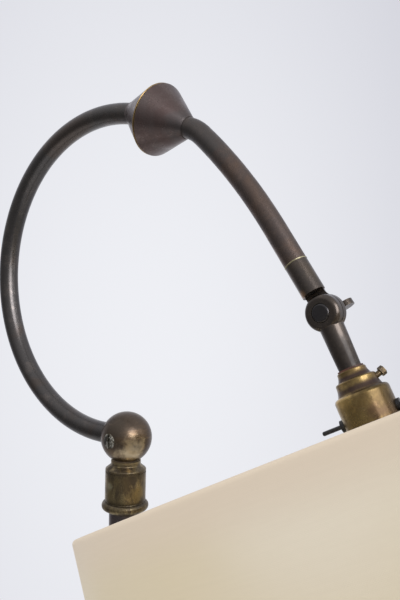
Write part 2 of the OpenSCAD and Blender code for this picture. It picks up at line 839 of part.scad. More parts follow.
module knuckle_lower() {
    color(BRONZE) at_head() difference() {
        union() {
            knuckle_half(-1);
            at_s(stub_len) cylinder(d1 = stub_end_d, d2 = stub_start_d, h = stub_len - stub_start);
            at_s(cap_top + entry_deep) cylinder(r = entry_r, h = entry_deep + entry_t + 1);
        }
        along_y(eye_r + eye_room, -slit / 2, eye_d);
        at_s(cap_top + entry_deep + 1) cylinder(r = bore_r, h = cap_top + entry_deep + 1 - eye_r);
        along_y(pivot_r + fit, -eye_r, eye_r);
        along_y(pivot_head_r + fit, -eye_r, head_sunk - half_t);
    }
}

module pivot_screw() {
    color(BRONZE) at_head() {
        along_y(pivot_r, -half_t, wing_face + wing_hub_h + 2);
        rotate([90, 0, 0]) rotate_extrude() polygon(concat(
            [[0, half_t - head_sunk], [pivot_head_r, half_t - head_sunk]],
            arc(pivot_head_r - head_round, half_t + head_proud - head_round, head_round, 0, 90, 8),
            [[0, half_t + head_proud]]
        ));
    }
}

module knuckle_washer() {
    color(FIBRE) at_head() translate([0, -slit / 2, 0]) rotate([-90, 0, 0])
        tube(eye_r - 2.5, pivot_r + fit, slit - 2 * rub);
}

module wing_nut() {
    wing_r = 4;
    color(BRONZE) at_head() translate([0, wing_face, 0]) rotate([0, -wing_turn, 0]) difference() {
        union() {
            along_y(wing_hub_r, 0, wing_hub_h);
            for (side = [0, 180]) rotate([0, side, 0]) translate([0, wing_hub_h / 2, -wing_t / 2])
                linear_extrude(wing_t) {
                    translate([0, -2]) square([wing_span / 2 - wing_r, 2 + wing_r]);
                    translate([wing_span / 2 - wing_r, wing_r / 2]) circle(wing_r);
                }
        }
        along_y(pivot_r + run, -1, wing_hub_h + wing_span);
    }
}

// Lampholder
module entry_washer() { color(FIBRE) at_head() at_s(cap_top) tube(entry_d / 2, entry_r + fit, entry_t); }

// Side of a cap step that flares out to its foot, as [radius, distance down]
function bell(foot_r, from, foot, n = 10) = [for (i = [1:n]) let (t = i / n)
    [foot_r - step_flare * (1 - t * t), from + (foot - from) * t]];

module holder_cap() {
    one_r = step_one_r - step_flare - step_edge;
    two_r = step_two_r - step_flare - step_two_edge;
    outside = concat(
        [[entry_r + fit, cap_top]],
        [for (p = arc(one_r, -cap_top - step_edge, step_edge, 90, 0, 6)) [p[0], -p[1]]],
        bell(step_one_r, cap_top + step_edge, step_one_foot),
        [for (p = arc(two_r, -step_two_top, step_two_edge, 90, 0, 8)) [p[0], -p[1]]],
        bell(step_two_r, step_two_top, step_two_foot),
        [for (p = arc(barrel_r - barrel_round, -barrel_top, barrel_round, 90, 0)) [p[0], -p[1]]],
        [[barrel_r, barrel_foot]]
    );
    inside = [
        [barrel_in_r, barrel_foot], [barrel_in_r, step_two_foot + 3],
        [barrel_in_r - 1.6, step_two_foot + 1.4],
        [step_two_r - 1.8, step_two_foot + 1.4], [step_two_r - 1.8, step_one_foot + 3.6],
        [step_two_r - 4, cap_top + entry_deep + 0.4], [entry_r + fit, cap_top + entry_deep + 0.4]
    ];
    color(BRASS) at_head() difference() {
        rotate_extrude() polygon(down(concat(outside, inside)));
        at_bar() rotate([0, 90, 0]) cylinder(r = guide_r + fit, h = 4 * barrel_r, center = true);
        at_cap_screw() translate([0, 0, -cap_screw_deep]) cylinder(r = cap_screw_r + fit, h = 10);
    }
}

module at_bar() { at_s(bar_s) rotate([0, 0, bar_turn]) children(); }

// Small screw that locks the cap, square to its second step
module at_cap_screw() {
    rotate([0, 0, cap_screw_turn]) translate([cap_screw_at, 0, -cap_screw_s])
        rotate([0, cap_screw_tilt, 0]) children();
}

module cap_screw() {
    color(BRASS) at_head() at_cap_screw() {
        translate([0, 0, -cap_screw_deep]) cylinder(r = cap_screw_r, h = cap_screw_deep + cap_screw_out);
        translate([0, 0, cap_screw_out]) cylinder(d = cap_screw_head_d, h = cap_screw_head_h, $fn = 6);
    }
}

module bar_guides() {
    color(BLACK) at_head() at_bar() for (side = [0, 180]) rotate([0, 0, side])
        translate([barrel_in_r + 0.1, 0, 0]) rotate([0, 90, 0])
            tube(guide_r, bar_r + run, cap_wall + guide_out - 0.1);
}

module push_bar() {
    reach = 2 * barrel_r + bar_out + bar_in;
    nose = bar_r / 3;
    color(BLACK) at_head() at_bar() translate([-barrel_r - bar_out, 0, 0]) rotate([0, 90, 0])
        rotate_extrude() polygon([
            [0, 0], [bar_r - nose, 0], [bar_r, nose],
            [bar_r, reach - nose], [bar_r - nose, reach], [0, reach]
        ]);
}

module switch_body() {
    color(BLACK) at_head() difference() {
        at_s(skirt_top) cylinder(r = barrel_in_r - fit, h = skirt_top - switch_top);
        at_bar() rotate([0, 90, 0]) cylinder(r = bar_r + run, h = 4 * barrel_r, center = true);
        terminal_places(0.9 + fit, switch_top - 1, switch_top + 4);
    }
}

// Two upright rods at the terminals, between two distances down
module terminal_places(r, from, to) {
    for (side = [-1, 1]) translate([0, side * 6.5, -to]) cylinder(r = r, h = to - from);
}

module terminal_screws() {
    color(BRASS) at_head() {
        terminal_places(0.9, switch_top - 0.5, switch_top + 3.6);
        terminal_places(1.7, switch_top - 1.3, switch_top);
    }
}

module holder_skirt() {
    color(BRASS) at_head() difference() {
        rotate_extrude() polygon(down([
            [socket_r, skirt_top], [barrel_in_r - fit, skirt_top], [barrel_in_r - fit, barrel_foot],
            [flange_d / 2, barrel_foot], [flange_d / 2, flange_foot], [thread_r, flange_foot],
            [thread_r, thread_foot - 0.8], [thread_r - 0.8, thread_foot], [socket_out_r, thread_foot],
            [socket_out_r, skirt_foot], [socket_r, skirt_foot]
        ]));
        for (side = [0, 180]) rotate([0, 0, side])
            translate([0, -bulb_pin_r - gap, -skirt_foot - 1])
                cube([
                    2 * barrel_r, 2 * bulb_pin_r + 2 * gap,
                    skirt_foot + 1 - bulb_pin_s + bulb_pin_r + gap
                ]);
    }
}

// Two upright rods at the contacts, between two distances down
module contact_places(r, from, to) {
    for (side = [-1, 1]) translate([0, side * plunger_at, -to]) cylinder(r = r, h = to - from);
}

module holder_core() {
    color("#e6e2d8") at_head() difference() {
        at_s(core_foot) cylinder(r = socket_r - fit, h = core_foot - core_top);
        contact_places(plunger_r + fit, core_top - 1, core_foot + 1);
    }
}

module contact_plungers() {
    color(BRASS) at_head() contact_places(plunger_r, contact_s - plunger_len, contact_s);
}

module contact_springs() {
    color(STEEL) at_head() difference() {
        contact_places(plunger_r - 0.1, core_top, contact_s - plunger_len);
        contact_places(plunger_r - 0.7, core_top - 1, contact_s);
    }
}

module shade_ring() {
    color(BRASS) at_head() at_s(ring_top + ring_h) rotate_extrude() polygon([
        [thread_r + fit, 0], [ring_d / 2 - 1, 0], [ring_d / 2, 1],
        [ring_d / 2, ring_h - 1], [ring_d / 2 - 1, ring_h], [thread_r + fit, ring_h]
    ]);
}

// Shade
module shade_spider() {
    hub_r = ring_d / 2 + 0.5;
    spoke_r = spider_t / 2 - 0.1;
    spoke_in = hub_r - 2;
    spoke_run = top_wire_r - spoke_in;
    spoke_rise = atan2(fitter_drop, spoke_run);
    color(BRASS) at_head() {
        at_s(spider_s + spider_t / 2) tube(hub_r, thread_r + fit, spider_t);
        at_s(top_wire_s) rotate_extrude() translate([top_wire_r, 0]) circle(wire_r, $fn = 24);
        at_s(spider_s) for (i = [0:spokes - 1]) rotate([0, 0, 90 + 360 * i / spokes])
            translate([spoke_in, 0, 0]) rotate([0, 90 - spoke_rise, 0])
                cylinder(r = spoke_r, h = spoke_run / cos(spoke_rise));
    }
}

module shade_bottom_ring() {
    color(BRASS) at_head() at_s(shade_top_s + shade_h - wire_r - shade_t)
        rotate_extrude() translate([bottom_wire_r, 0]) circle(wire_r, $fn = 24);
}

module shade_skin() {
    color(CREAM) at_head() at_s(shade_top_s) rotate_extrude($fn = 120) polygon(down([
        [shade_top_d / 2 - shade_t, 0], [shade_top_d / 2, 0],
        [shade_bottom_d / 2, shade_h], [shade_bottom_d / 2 - shade_t, shade_h]
    ]));
}

// Bulb
module bulb_cap() {
    pin_reach = socket_out_r + 0.4;
    color(BRASS) at_head() difference() {
        union() {
            at_s(bulb_cap_foot) cylinder(r = bulb_cap_r, h = bulb_cap_len);
            at_s(bulb_pin_s) rotate([0, 90, 0]) cylinder(r = bulb_pin_r, h = 2 * pin_reach, center = true);
        }
        at_s(bulb_cap_foot + 1) cylinder(r = bulb_neck_r + fit, h = bulb_cap_len - 9);
    }
}

// Outline of the bulb moved in by a wall: neck, flare and globe
function bulb_line(in) = let (
    bend_x = bulb_neck_r + bulb_flare,
    turn = atan2(bulb_fall, bend_x)
) concat(
    [[bulb_neck_r - in, bulb_cap_foot - 8]],
    [for (p = arc(bend_x, bulb_fall - bulb_mid, bulb_flare + in, 180, 180 + turn, 16)) [p[0], -p[1]]],
    [for (p = arc(0, -bulb_mid, bulb_r - in, turn - 1, -90, 30)) [max(p[0], 0), -p[1]]]
);

module bulb_glass() {
    outer = bulb_line(0);
    inner = bulb_line(glass_t);
    color("white") at_head() rotate_extrude()
        polygon(down(concat(outer, [for (i = [len(inner) - 1:-1:0]) inner[i]])));
}

module flex_head() {
    color(BLACK) at_head() at_s(switch_top - gap)
        cylinder(r = flex_r, h = switch_top - gap - rod_start - 0.4);
}

base_pad();
base_weight();
base_shell();
base_nipple();
base_nut();
cord_gland();
column_socket();
outer_column();
clamp_collar();
guide_bush();
clamp_screw();
inner_pole();
pole_stop();
top_collar();
swivel_washer();
flex_pole();
arm_ball();
ball_plug();
swivel_spindle();
spindle_nut();
loop_arm();
inner_cone();
flex_loop();
outer_cone();
cone_spindle();
cone_nut();
cone_washer();
outer_tube();
knuckle_upper();
flex_outer();
knuckle_lower();
pivot_screw();
knuckle_washer();
wing_nut();
entry_washer();
holder_cap();
cap_screw();
bar_guides();
push_bar();
switch_body();
terminal_screws();
holder_skirt();
holder_core();
contact_plungers();
contact_springs();
shade_ring();
shade_spider();
shade_bottom_ring();
shade_skin();
bulb_cap();
bulb_glass();
flex_head();
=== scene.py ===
"""Looks of a reading floor lamp: a brass stand with a looped arm, a tilting head and a cream shade."""

import logging
import math
from dataclasses import dataclass, field
from enum import Enum
from typing import Callable, Optional, Sequence, Union

import bpy
from mathutils import Matrix, Vector, noise


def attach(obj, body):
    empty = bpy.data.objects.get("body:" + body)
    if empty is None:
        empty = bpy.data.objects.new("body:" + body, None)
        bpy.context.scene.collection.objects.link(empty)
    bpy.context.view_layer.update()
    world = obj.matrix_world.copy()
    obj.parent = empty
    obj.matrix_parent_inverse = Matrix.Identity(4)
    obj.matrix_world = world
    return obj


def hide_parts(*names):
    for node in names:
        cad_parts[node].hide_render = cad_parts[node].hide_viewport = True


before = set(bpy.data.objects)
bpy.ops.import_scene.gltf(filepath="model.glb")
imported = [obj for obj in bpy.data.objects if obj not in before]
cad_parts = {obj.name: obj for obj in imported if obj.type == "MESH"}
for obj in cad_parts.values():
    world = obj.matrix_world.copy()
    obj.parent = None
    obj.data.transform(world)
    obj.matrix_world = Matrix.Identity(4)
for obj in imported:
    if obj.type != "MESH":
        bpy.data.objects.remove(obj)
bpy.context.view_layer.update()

LOG = logging.getLogger("reading_lamp")
MM = 0.001

Colour = tuple[float, float, float]
Point = tuple[float, float, float]
Socket = bpy.types.NodeSocket
Feed = Union[Socket, float, Sequence[float]]


class Body(str, Enum):
    """The moving bodies that scene pieces ride on."""

    STAND = "stand"
    OUTER_ARM = "outer_arm"
    HEAD = "head"


class Slot(str, Enum):
    """Material slot names that scene pieces are passed with; nothing in the script reads them."""

    FELT = "felt"
    AGED_BRASS = "aged_brass"
    CREAM_SHADE = "cream_shade"


class Sketch:
    """Adds nodes to one node tree and links them as they are added."""

    def __init__(self, tree: bpy.types.NodeTree) -> None:
        """Starts on a tree.

        Args:
            tree: the node tree to draw in.
        """
        self.tree = tree

    def feed(self, target: Socket, value: Feed) -> None:
        """Links a socket into target, or sets target's own value.

        Args:
            target: the input to fill.
            value: a socket, a number, a colour or a vector.
        """
        if isinstance(value, bpy.types.NodeSocket):
            self.tree.links.new(value, target)
        elif target.type == "RGBA" and len(value) == 3:
            target.default_value = (*value, 1.0)
        else:
            target.default_value = value

    def put(self, kind: str, feeds: Optional[dict] = None, **settings: object) -> bpy.types.Node:
        """Adds a node.

        Args:
            kind: Blender's name of the node type.
            feeds: what goes into its inputs, by input name or number.
            settings: the node's own settings.

        Returns:
            The new node.
        """
        node = self.tree.nodes.new(kind)
        for key, value in settings.items():
            setattr(node, key, value)
        for key, value in (feeds or {}).items():
            self.feed(node.inputs[key], value)
        return node

    def calc(self, operation: str, a: Feed, b: Feed = 0.0, c: Feed = 0.0) -> Socket:
        """Does one sum with up to three numbers and returns the answer's socket."""
        return self.put("ShaderNodeMath", {0: a, 1: b, 2: c}, operation=operation).outputs[0]

    def dot(self, a: Feed, b: Feed) -> Socket:
        """Returns the dot product of two vectors."""
        return self.put("ShaderNodeVectorMath", {0: a, 1: b}, operation="DOT_PRODUCT").outputs["Value"]

    def span(self, value: Feed, low: Feed, high: Feed, start: Feed = 0.0, end: Feed = 1.0) -> Socket:
        """Eases value from start at low to end at high.

        Args:
            value: the number to map.
            low: where it begins to change.
            high: where it stops changing.
            start: what comes out at low.
            end: what comes out at high.

        Returns:
            The eased number.
        """
        feeds = {"Value": value, "From Min": low, "From Max": high, "To Min": start, "To Max": end}
        return self.put("ShaderNodeMapRange", feeds, interpolation_type="SMOOTHSTEP").outputs[0]

    def tint(self, factor: Feed, a: Feed, b: Feed, mode: str = "MIX") -> Socket:
        """Mixes two colours.

        Args:
            factor: how much of b.
            a: the colour underneath.
            b: the colour on top.
            mode: Blender's blend mode.

        Returns:
            The mixed colour.
        """
        feeds = {0: factor, 6: a, 7: b}
        return self.put("ShaderNodeMix", feeds, data_type="RGBA", blend_type=mode).outputs[2]

    def cloud(
        self, place: Feed, scale: Feed, detail: float, rough: float = 0.55, warp: float = 0.0
    ) -> Socket:
        """Returns smooth noise.

        Args:
            place: the point it is read at.
            scale: features in each metre.
            detail: how many finer layers it has.
            rough: how strong the finer layers are.
            warp: how much it is stirred.

        Returns:
            A number around one half.
        """
        feeds = {"Vector": place, "Scale": scale, "Detail": detail, "Roughness": rough, "Distortion": warp}
        return self.put("ShaderNodeTexNoise", feeds).outputs[0]


@dataclass(frozen=True)
class Effect:
    """A shader node group that several finishes share.

    The group is built once, and placed in each material with that material's own values.
    """

    name: str
    takes: tuple[tuple[str, str], ...]
    gives: tuple[tuple[str, str], ...]
    recipe: Callable[[Sketch, dict[str, Socket]], dict[str, Socket]]

    def tree(self) -> bpy.types.NodeTree:
        """Builds the group, or finds the one already built.

        Returns:
            The group's node tree.
        """
        found = bpy.data.node_groups.get(self.name)
        if found:
            return found
        tree = bpy.data.node_groups.new(self.name, "ShaderNodeTree")
        for side, sockets in (("INPUT", self.takes), ("OUTPUT", self.gives)):
            for name, kind in sockets:
                tree.interface.new_socket(name=name, in_out=side, socket_type=f"NodeSocket{kind}")
        sketch = Sketch(tree)
        given = {s.name: s for s in sketch.put("NodeGroupInput").outputs if s.name}
        sketch.put("NodeGroupOutput", self.recipe(sketch, given))
        return tree

    def place(self, sketch: Sketch, feeds: dict[str, Feed]) -> dict[str, Socket]:
        """Puts the group into a material.

        Args:
            sketch: the material's tree.
            feeds: what goes into the group's inputs.

        Returns:
            The group's outputs, by name.
        """
        node = sketch.put("ShaderNodeGroup", node_tree=self.tree())
        for key, value in feeds.items():
            sketch.feed(node.inputs[key], value)
        return {s.name: s for s in node.outputs}


def tarnish_recipe(s: Sketch, given: dict[str, Socket]) -> dict[str, Socket]:
    """Blotched oxide film over bare metal.

    Args:
        s: the group's tree.
        given: its inputs.

    Returns:
        The colour, how far the film covers, and a height.
    """
    broad_ratio, fine_ratio, speck_ratio = 0.35, 7.0, 26.0
    fine_share, speck_share = 0.3, 0.4
    bare_edge, cover_pull, edge_blur = 0.75, -0.5, 0.1
    place, blotch = given["Position"], given["Blotch"]
    broad = s.cloud(place, s.calc("MULTIPLY", blotch, broad_ratio), detail=3.0, rough=0.55, warp=0.6)
    middle = s.cloud(place, blotch, detail=6.0, rough=0.62, warp=0.3)
    fine = s.cloud(place, s.calc("MULTIPLY", blotch, fine_ratio), detail=4.0, rough=0.6)
    speck = s.cloud(place, s.calc("MULTIPLY", blotch, speck_ratio), detail=2.0)
    blend = s.calc("MULTIPLY_ADD", fine, fine_share, s.calc("MULTIPLY", middle, 1.0 - fine_share))
    edge = s.calc("MULTIPLY_ADD", given["Cover"], cover_pull, bare_edge)
    low, high = s.calc("SUBTRACT", edge, edge_blur), s.calc("ADD", edge, edge_blur)
    film = s.span(blend, low, high)
    colour = s.tint(film, given["Bare"], given["Film"])
    stain = s.calc("MULTIPLY", s.span(broad, low=0.48, high=0.66), given["Stain Share"])
    colour = s.tint(stain, colour, given["Stain"])
    mottle = given["Speckle"]
    darkest, lightest = s.calc("SUBTRACT", 1.0, mottle), s.calc("ADD", 1.0, mottle)
    grey = s.span(speck, low=0.3, high=0.7, start=darkest, end=lightest)
    shade = s.put("ShaderNodeCombineColor", {0: grey, 1: grey, 2: grey}).outputs[0]
    colour = s.tint(1.0, colour, shade, "MULTIPLY")
    height = s.calc("MULTIPLY_ADD", speck, speck_share, s.calc("MULTIPLY", fine, 1.0 - speck_share))
    return {"Color": colour, "Cover": film, "Height": height}


def edge_wear_recipe(s: Sketch, given: dict[str, Socket]) -> dict[str, Socket]:
    """Rubbed edges, from how far a rounded normal turns away from the true one.

    Args:
        s: the group's tree.
        given: its inputs.

    Returns:
        A mask that is 1 where an edge is rubbed bright.
    """
    rounded = s.put("ShaderNodeBevel", {"Radius": given["Radius"]}, samples=4).outputs[0]
    true = s.put("ShaderNodeNewGeometry").outputs["Normal"]
    turn = s.calc("SUBTRACT", 1.0, s.dot(rounded, true))
    rubs = s.cloud(given["Position"], scale=420.0, detail=3.0)
    patchy = s.span(rubs, low=0.38, high=0.62, start=0.25)
    return {"Mask": s.calc("MULTIPLY", s.span(turn, low=0.015, high=0.16), patchy)}


def grime_and_shade_recipe(s: Sketch, given: dict[str, Socket]) -> dict[str, Socket]:
    """Dark dirt in a piece's own grooves and corners, with painted shade from ambient occlusion.

    Args:
        s: the group's tree.
        given: its inputs.

    Returns:
        A mask that is 1 deep in a groove.
    """
    feeds = {"Distance": given["Reach"]}
    open_sky = s.put("ShaderNodeAmbientOcclusion", feeds, samples=6, only_local=True).outputs["AO"]
    clots = s.cloud(given["Position"], scale=300.0, detail=4.0, rough=0.6)
    patchy = s.span(clots, low=0.3, high=0.7, start=0.6)
    return {"Mask": s.calc("MULTIPLY", s.span(open_sky, low=0.92, high=0.45), patchy)}


def turning_recipe(s: Sketch, given: dict[str, Socket]) -> dict[str, Socket]:
    """Fine rings left by the lathe, square to an axis.

    Args:
        s: the group's tree.
        given: its inputs.

    Returns:
        The height of the rings.
    """
    along = s.calc("DIVIDE", s.dot(given["Position"], given["Axis"]), given["Pitch"])
    rings = s.put("ShaderNodeTexNoise", {"W": along, "Scale": 1.0, "Detail": 3.0}, noise_dimensions="1D")
    return {"Height": rings.outputs[0]}


def dust_recipe(s: Sketch, given: dict[str, Socket]) -> dict[str, Socket]:
    """A thin film of dust on what faces up.

    Args:
        s: the group's tree.
        given: its inputs.

    Returns:
        A mask that is 1 where dust lies thick.
    """
    facing = s.put("ShaderNodeSeparateXYZ", {0: given["Facing"]}).outputs["Z"]
    grains = s.cloud(given["Position"], scale=900.0, detail=5.0, rough=0.7)
    specks = s.span(grains, low=0.42, high=0.72, start=0.15)
    return {"Mask": s.calc("MULTIPLY", s.span(facing, low=0.25, high=0.95), specks)}


def patch_recipe(s: Sketch, given: dict[str, Socket]) -> dict[str, Socket]:
    """One soft-edged mark round a point.

    Args:
        s: the group's tree.
        given: its inputs.

    Returns:
        A mask that is 1 in the middle of the mark.
    """
    feeds = {0: given["Position"], 1: given["Centre"]}
    away = s.put("ShaderNodeVectorMath", feeds, operation="DISTANCE").outputs["Value"]
    stir = s.calc("SUBTRACT", s.cloud(given["Position"], scale=160.0, detail=4.0, rough=0.6), 0.5)
    ragged = s.calc("MULTIPLY", stir, given["Ragged"])
    share = s.calc("ADD", s.calc("DIVIDE", away, given["Reach"]), ragged)
    return {"Mask": s.span(share, low=1.05, high=0.25)}


def band_recipe(s: Sketch, given: dict[str, Socket]) -> dict[str, Socket]:
    """A ring round a turned piece, with a ragged edge.

    Args:
        s: the group's tree.
        given: its inputs.

    Returns:
        A mask that is 1 in the middle of the ring.
    """
    along = s.calc("SUBTRACT", s.dot(given["Position"], given["Axis"]), given["At"])
    nibbles = s.cloud(given["Position"], scale=380.0, detail=3.0)
    ragged = s.span(nibbles, low=0.3, high=0.7, start=0.85, end=1.15)
    away = s.calc("DIVIDE", s.calc("MULTIPLY", s.calc("ABSOLUTE", along), ragged), given["Width"])
    return {"Mask": s.span(away, low=1.0, high=0.15)}


def weave_recipe(s: Sketch, given: dict[str, Socket]) -> dict[str, Socket]:
    """Plain weave, one thread over and one under.

    Args:
        s: the group's tree.
        given: its inputs.

    Returns:
        The threads' height and how light each spot is.
    """
    slub_counts, slub_share = (60.0, 900.0, 1.0), 0.5
    parts = s.put("ShaderNodeSeparateXYZ", {0: given["Cloth"]})
    waves, steps = [], []
    for axis in ("X", "Y"):
        count = s.calc("DIVIDE", parts.outputs[axis], given["Pitch"])
        waves.append(s.calc("ABSOLUTE", s.calc("SINE", s.calc("MULTIPLY", count, math.pi))))
        steps.append(s.calc("FLOOR", count))
    over = s.calc("MODULO", s.calc("ADD", *steps), 2.0)
    thread = s.calc("MULTIPLY_ADD", over, s.calc("SUBTRACT", waves[0], waves[1]), waves[1])
    slub_at = s.put("ShaderNodeVectorMath", {0: given["Cloth"], 1: slub_counts}, operation="MULTIPLY")
    slub = s.cloud(slub_at.outputs[0], scale=1.0, detail=3.0)
    height = s.calc("MULTIPLY_ADD", slub, slub_share, thread)
    return {"Height": height, "Tone": s.span(slub, low=0.3, high=0.7)}


PLACE, COLOUR, NUMBER = "Vector", "Color", "Float"
TARNISH = Effect(
    "tarnish",
    (("Position", PLACE), ("Bare", COLOUR), ("Film", COLOUR), ("Stain", COLOUR),
     ("Blotch", NUMBER), ("Cover", NUMBER), ("Stain Share", NUMBER), ("Speckle", NUMBER)),
    (("Color", COLOUR), ("Cover", NUMBER), ("Height", NUMBER)),
    tarnish_recipe,
)
MASK = (("Mask", NUMBER),)
EDGE_WEAR = Effect("edge_wear", (("Position", PLACE), ("Radius", NUMBER)), MASK, edge_wear_recipe)
GRIME_AND_SHADE = Effect("grime_and_shade", (("Position", PLACE), ("Reach", NUMBER)), MASK, grime_and_shade_recipe)
TURNING = Effect(
    "turning",
    (("Position", PLACE), ("Axis", PLACE), ("Pitch", NUMBER)),
    (("Height", NUMBER),),
    turning_recipe,
)
DUST = Effect("dust", (("Position", PLACE), ("Facing", PLACE)), MASK, dust_recipe)
PATCH = Effect(
    "patch",
    (("Position", PLACE), ("Centre", PLACE), ("Reach", NUMBER), ("Ragged", NUMBER)),
    MASK,
    patch_recipe,
)
BAND = Effect(
    "band",
    (("Position", PLACE), ("Axis", PLACE), ("At", NUMBER), ("Width", NUMBER)),
    MASK,
    band_recipe,
)
WEAVE = Effect(
    "weave",
    (("Cloth", PLACE), ("Pitch", NUMBER)),
    (("Height", NUMBER), ("Tone", NUMBER)),
    weave_recipe,
)


@dataclass(frozen=True)
class Mark:
    """A soft-edged spot of another tone on metal or cloth; some are stains, some painted highlights and some
    painted shade.
    """

    centre: Point
    reach: float
    tint: Colour
    strength: float


@dataclass(frozen=True)
class Ring:
    """A ring of another tone round a turned piece, duller than the rest if asked; some rings are wear, some
    painted shade and some painted light.
    """

    axis: Point
    at: float
    width: float
    tint: Colour
    strength: float
    dulls: float = 0.0


@dataclass(frozen=True)
class Finish:
    """What every finish has: a name and a material made once."""

    name: str

    def material(self) -> bpy.types.Material:
        """Makes the material, or finds the one already made.

        Returns:
            The finish as a material.
        """
        found = bpy.data.materials.get(self.name)
        if found:
            return found
        made = bpy.data.materials.new(self.name)
        made.use_nodes = True
        made.node_tree.nodes.clear()
        sketch = Sketch(made.node_tree)
        shader = sketch.put("ShaderNodeBsdfPrincipled")
        sketch.put("ShaderNodeOutputMaterial", {"Surface": shader.outputs[0]})
        self.draw(sketch, shader)
        return made

    def draw(self, s: Sketch, shader: bpy.types.Node) -> None:
        """Fills in the shader's sockets."""
        raise NotImplementedError

    def bump(
        self, s: Sketch, shader: bpy.types.Node, height: Socket, depth: float, strength: float = 1.0
    ) -> None:
        """Gives the shader a bumpy normal.

        Args:
            s: the material's tree.
            shader: the node whose normal is set.
            height: the height from 0 to 1.
            depth: how deep that is, in metres.
            strength: how much of it shows.
        """
        feeds = {"Height": height, "Distance": depth, "Strength": strength}
        s.feed(shader.inputs["Normal"], s.put("ShaderNodeBump", feeds).outputs[0])


@dataclass(frozen=True)
class MetalFinish(Finish):
    """Patinated brass or bronze: bare metal, an oxide film, stains, rubbed edges, dust, and grime deepened by
    painted shade in grooves; marks and rings may paint highlights and shade.
    """

    bare: Colour
    film: Colour
    stain: Colour
    glint: Colour = (0.42, 0.33, 0.2)
    grime_and_shade_tone: Colour = (0.012, 0.009, 0.008)
    blotch: float = 90.0
    cover: float = 0.7
    stain_share: float = 0.5
    speckle: float = 0.2
    polish: float = 0.26
    dull: float = 0.42
    metallic: float = 1.0
    coat: float = 0.12
    wear: float = 0.4
    wear_radius: float = 0.7 * MM
    grime_and_shade: float = 0.6
    grime_and_shade_reach: float = 4 * MM
    dust: float = 0.0
    axis: Optional[Point] = None
    pitch: float = 0.4 * MM
    depth: float = 0.01 * MM
    stretch: Point = (1.0, 1.0, 1.0)
    marks: tuple[Mark, ...] = ()
    rings: tuple[Ring, ...] = ()
    ragged: float = 1.8
    dust_tone: Colour = (0.3, 0.28, 0.26)
    grain_roughens: float = 0.16
    grime_and_shade_roughens: float = 0.25
    dust_roughens: float = 0.3
    ring_height: float = 0.5
    grain_height: float = 0.6
    coat_rough: float = 0.22

    def draw(self, s: Sketch, shader: bpy.types.Node) -> None:
        """Fills in the shader's sockets.

        Args:
            s: the material's tree.
            shader: its principled shader.
        """
        where = s.put("ShaderNodeTexCoord").outputs
        place = where["Object"]
        drawn = s.put("ShaderNodeVectorMath", {0: place, 1: self.stretch}, operation="MULTIPLY").outputs[0]
        feeds = {"Position": drawn, "Bare": self.bare, "Film": self.film, "Stain": self.stain}
        feeds.update({"Blotch": self.blotch, "Cover": self.cover})
        feeds.update({"Stain Share": self.stain_share, "Speckle": self.speckle})
        skin = TARNISH.place(s, feeds)
        colour = skin["Color"]
        # Marks and rings tint the metal: stains and wear, and in places painted highlights and shade.
        for mark in self.marks:
            feeds = {"Position": place, "Centre": mark.centre, "Reach": mark.reach, "Ragged": self.ragged}
            spot = PATCH.place(s, feeds)["Mask"]
            colour = s.tint(s.calc("MULTIPLY", spot, mark.strength), colour, mark.tint)
        rough = s.span(skin["Cover"], low=0.0, high=1.0, start=self.polish, end=self.dull)
        for ring in self.rings:
            feeds = {"Position": place, "Axis": ring.axis, "At": ring.at, "Width": ring.width}
            band = BAND.place(s, feeds)["Mask"]
            colour = s.tint(s.calc("MULTIPLY", band, ring.strength), colour, ring.tint)
            rough = s.calc("MULTIPLY_ADD", band, ring.dulls, rough)
        # Ambient occlusion darkens grooves and corners: dirt, and painted shade.
        grime_and_shade_mask = GRIME_AND_SHADE.place(s, {"Position": place, "Reach": self.grime_and_shade_reach})["Mask"]
        colour = s.tint(s.calc("MULTIPLY", grime_and_shade_mask, self.grime_and_shade), colour, self.grime_and_shade_tone)
        rubbed = EDGE_WEAR.place(s, {"Position": place, "Radius": self.wear_radius})["Mask"]
        colour = s.tint(s.calc("MULTIPLY", rubbed, self.wear), colour, self.glint)
        smoothest = s.calc("SUBTRACT", rough, self.grain_roughens / 2)
        rough = s.calc("MULTIPLY_ADD", skin["Height"], self.grain_roughens, smoothest)
        rough = s.calc("MULTIPLY_ADD", grime_and_shade_mask, self.grime_and_shade_roughens, rough)
        if self.dust:
            film = DUST.place(s, {"Position": place, "Facing": where["Normal"]})["Mask"]
            film = s.calc("MULTIPLY", film, self.dust)
            colour = s.tint(film, colour, self.dust_tone)
            rough = s.calc("MULTIPLY_ADD", film, self.dust_roughens, rough)
        height = skin["Height"]
        if self.axis:
            rings = TURNING.place(s, {"Position": place, "Axis": self.axis, "Pitch": self.pitch})["Height"]
            grain = s.calc("MULTIPLY", height, self.grain_height)
            height = s.calc("MULTIPLY_ADD", rings, self.ring_height, grain)
        s.feed(shader.inputs["Base Color"], colour)
        s.feed(shader.inputs["Roughness"], rough)
        shader.inputs["Metallic"].default_value = self.metallic
        shader.inputs["Coat Weight"].default_value = self.coat
        shader.inputs["Coat Roughness"].default_value = self.coat_rough
        self.bump(s, shader, height, self.depth)


